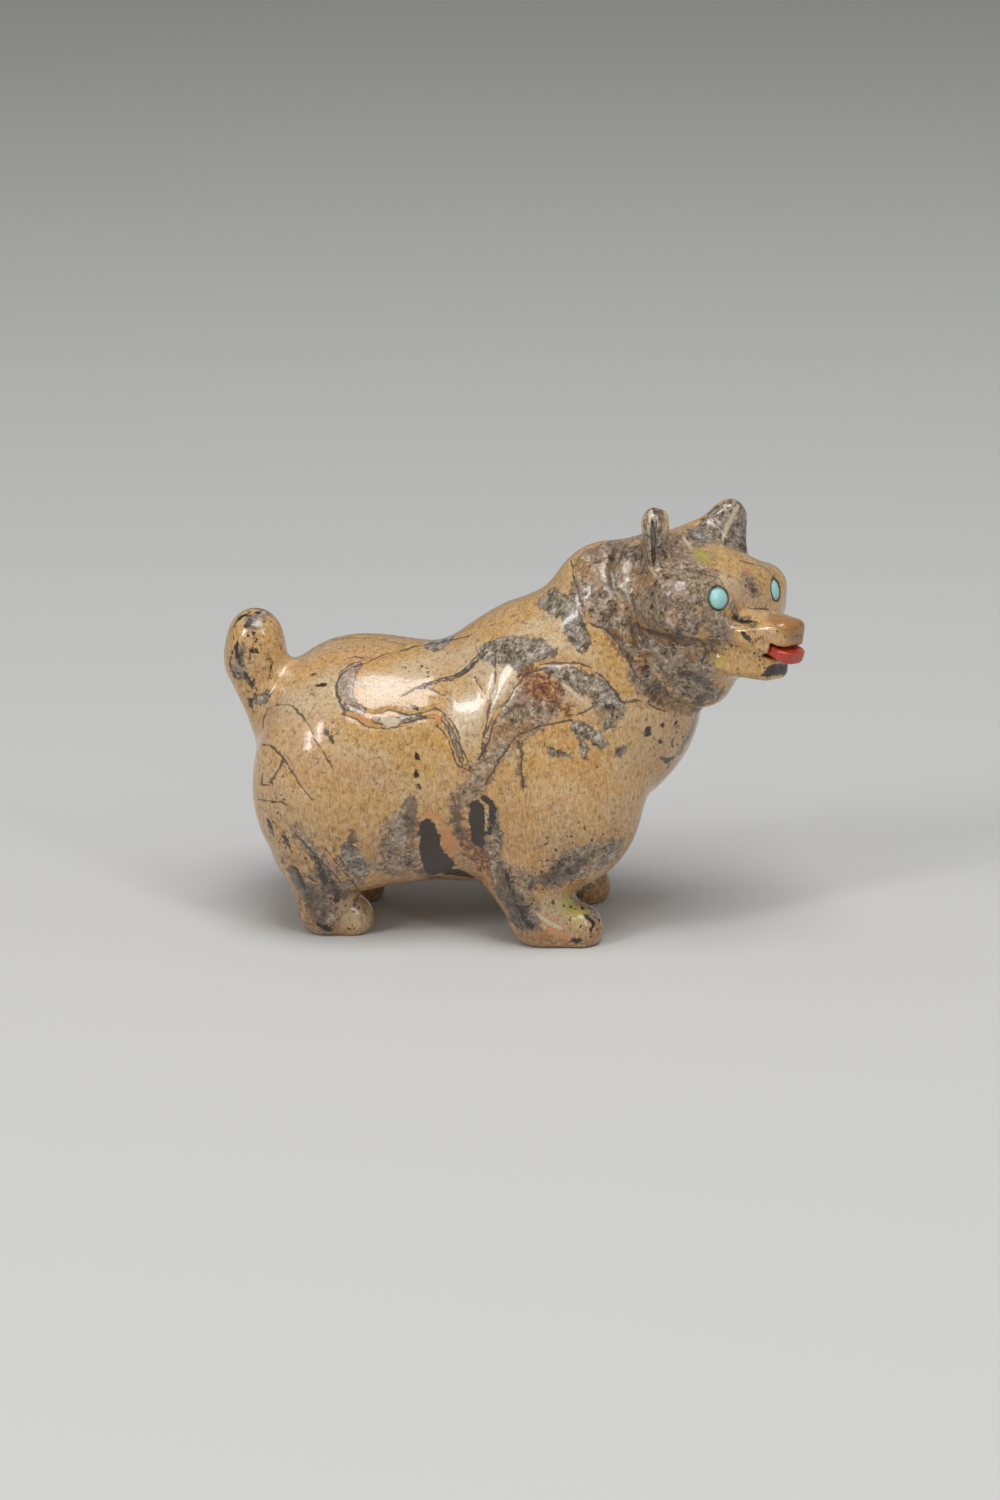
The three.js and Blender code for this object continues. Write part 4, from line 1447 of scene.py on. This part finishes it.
class STONE_BEAR_OT_stage(bpy.types.Operator):
    """Set the pale floor, the soft lights and the camera"""

    bl_idname = "stone_bear.stage"
    bl_label = "Set Stage"

    def execute(self, context):
        stage = context.scene.stone_bear.stage
        set_camera()
        set_floor(stage)
        softbox("key", at=(-0.46, -0.42, 0.39), size=(0.09, 0.3), power=stage.key_power)
        softbox("fill", at=(0.5, -0.5, 0.5), size=(0.08, 0.3), power=stage.fill_power)
        softbox("top", at=(0.1, -0.25, 0.85), size=(0.5, 0.5), power=stage.top_power)
        world = bpy.data.worlds.new("studio")
        world.use_nodes = True
        background = world.node_tree.nodes["Background"]
        background.inputs["Color"].default_value = (1, 1, 1, 1)
        background.inputs["Strength"].default_value = stage.sky
        context.scene.world = world
        context.scene.view_settings.view_transform = "Standard"
        return {"FINISHED"}


class STONE_BEAR_OT_stone(bpy.types.Operator):
    """Carve the stone, mark its veins and give it its polish"""

    bl_idname = "stone_bear.stone"
    bl_label = "Carve Stone"

    def execute(self, context):
        stone = carve_stone(context.scene.stone_bear.stone)
        join_frame(stone, "ochre_stone", "stone_bear")
        return {"FINISHED"}


class STONE_BEAR_OT_eyes(bpy.types.Operator):
    """Set the two turquoise eyes in their glue"""

    bl_idname = "stone_bear.eyes"
    bl_label = "Set Eyes"

    def execute(self, context):
        for name in EYES:
            eye, ring = set_eye(name, context.scene.stone_bear.inlays)
            join_frame(eye, "turquoise", name)
            join_frame(ring, None)
        return {"FINISHED"}


class STONE_BEAR_OT_tongue(bpy.types.Operator):
    """Set the red coral tongue in the mouth"""

    bl_idname = "stone_bear.tongue"
    bl_label = "Set Tongue"

    def execute(self, context):
        tongue = carve_tongue()
        tongue.data.materials.append(coral_material(context.scene.stone_bear.inlays))
        join_frame(tongue, "red_coral", "tongue")
        return {"FINISHED"}


class STONE_BEAR_PT_panel(bpy.types.Panel):
    """Lists the bear's settings and steps"""

    bl_idname = "STONE_BEAR_PT_panel"
    bl_label = "Stone Bear"
    bl_space_type = "VIEW_3D"
    bl_region_type = "UI"
    bl_category = "Stone Bear"

    def draw(self, context):
        settings = context.scene.stone_bear
        for group in (settings.stone, settings.inlays, settings.stage):
            box = self.layout.box()
            for name in group.bl_rna.properties.keys():
                if name not in ("rna_type", "name"):
                    box.prop(group, name)
        for step in STEPS:
            self.layout.operator(step.bl_idname)


STEPS = (STONE_BEAR_OT_stage, STONE_BEAR_OT_stone, STONE_BEAR_OT_eyes, STONE_BEAR_OT_tongue)
CLASSES = (StoneSettings, InlaySettings, StageSettings, BearSettings, *STEPS, STONE_BEAR_PT_panel)


def register():
    for cls in CLASSES:
        bpy.utils.register_class(cls)
    bpy.types.Scene.stone_bear = PointerProperty(type=BearSettings)


def unregister():
    del bpy.types.Scene.stone_bear
    for cls in reversed(CLASSES):
        bpy.utils.unregister_class(cls)


def main():
    register()
    bpy.ops.stone_bear.stage()
    bpy.ops.stone_bear.stone()
    bpy.ops.stone_bear.eyes()
    bpy.ops.stone_bear.tongue()


if __name__ == "__main__":
    main()
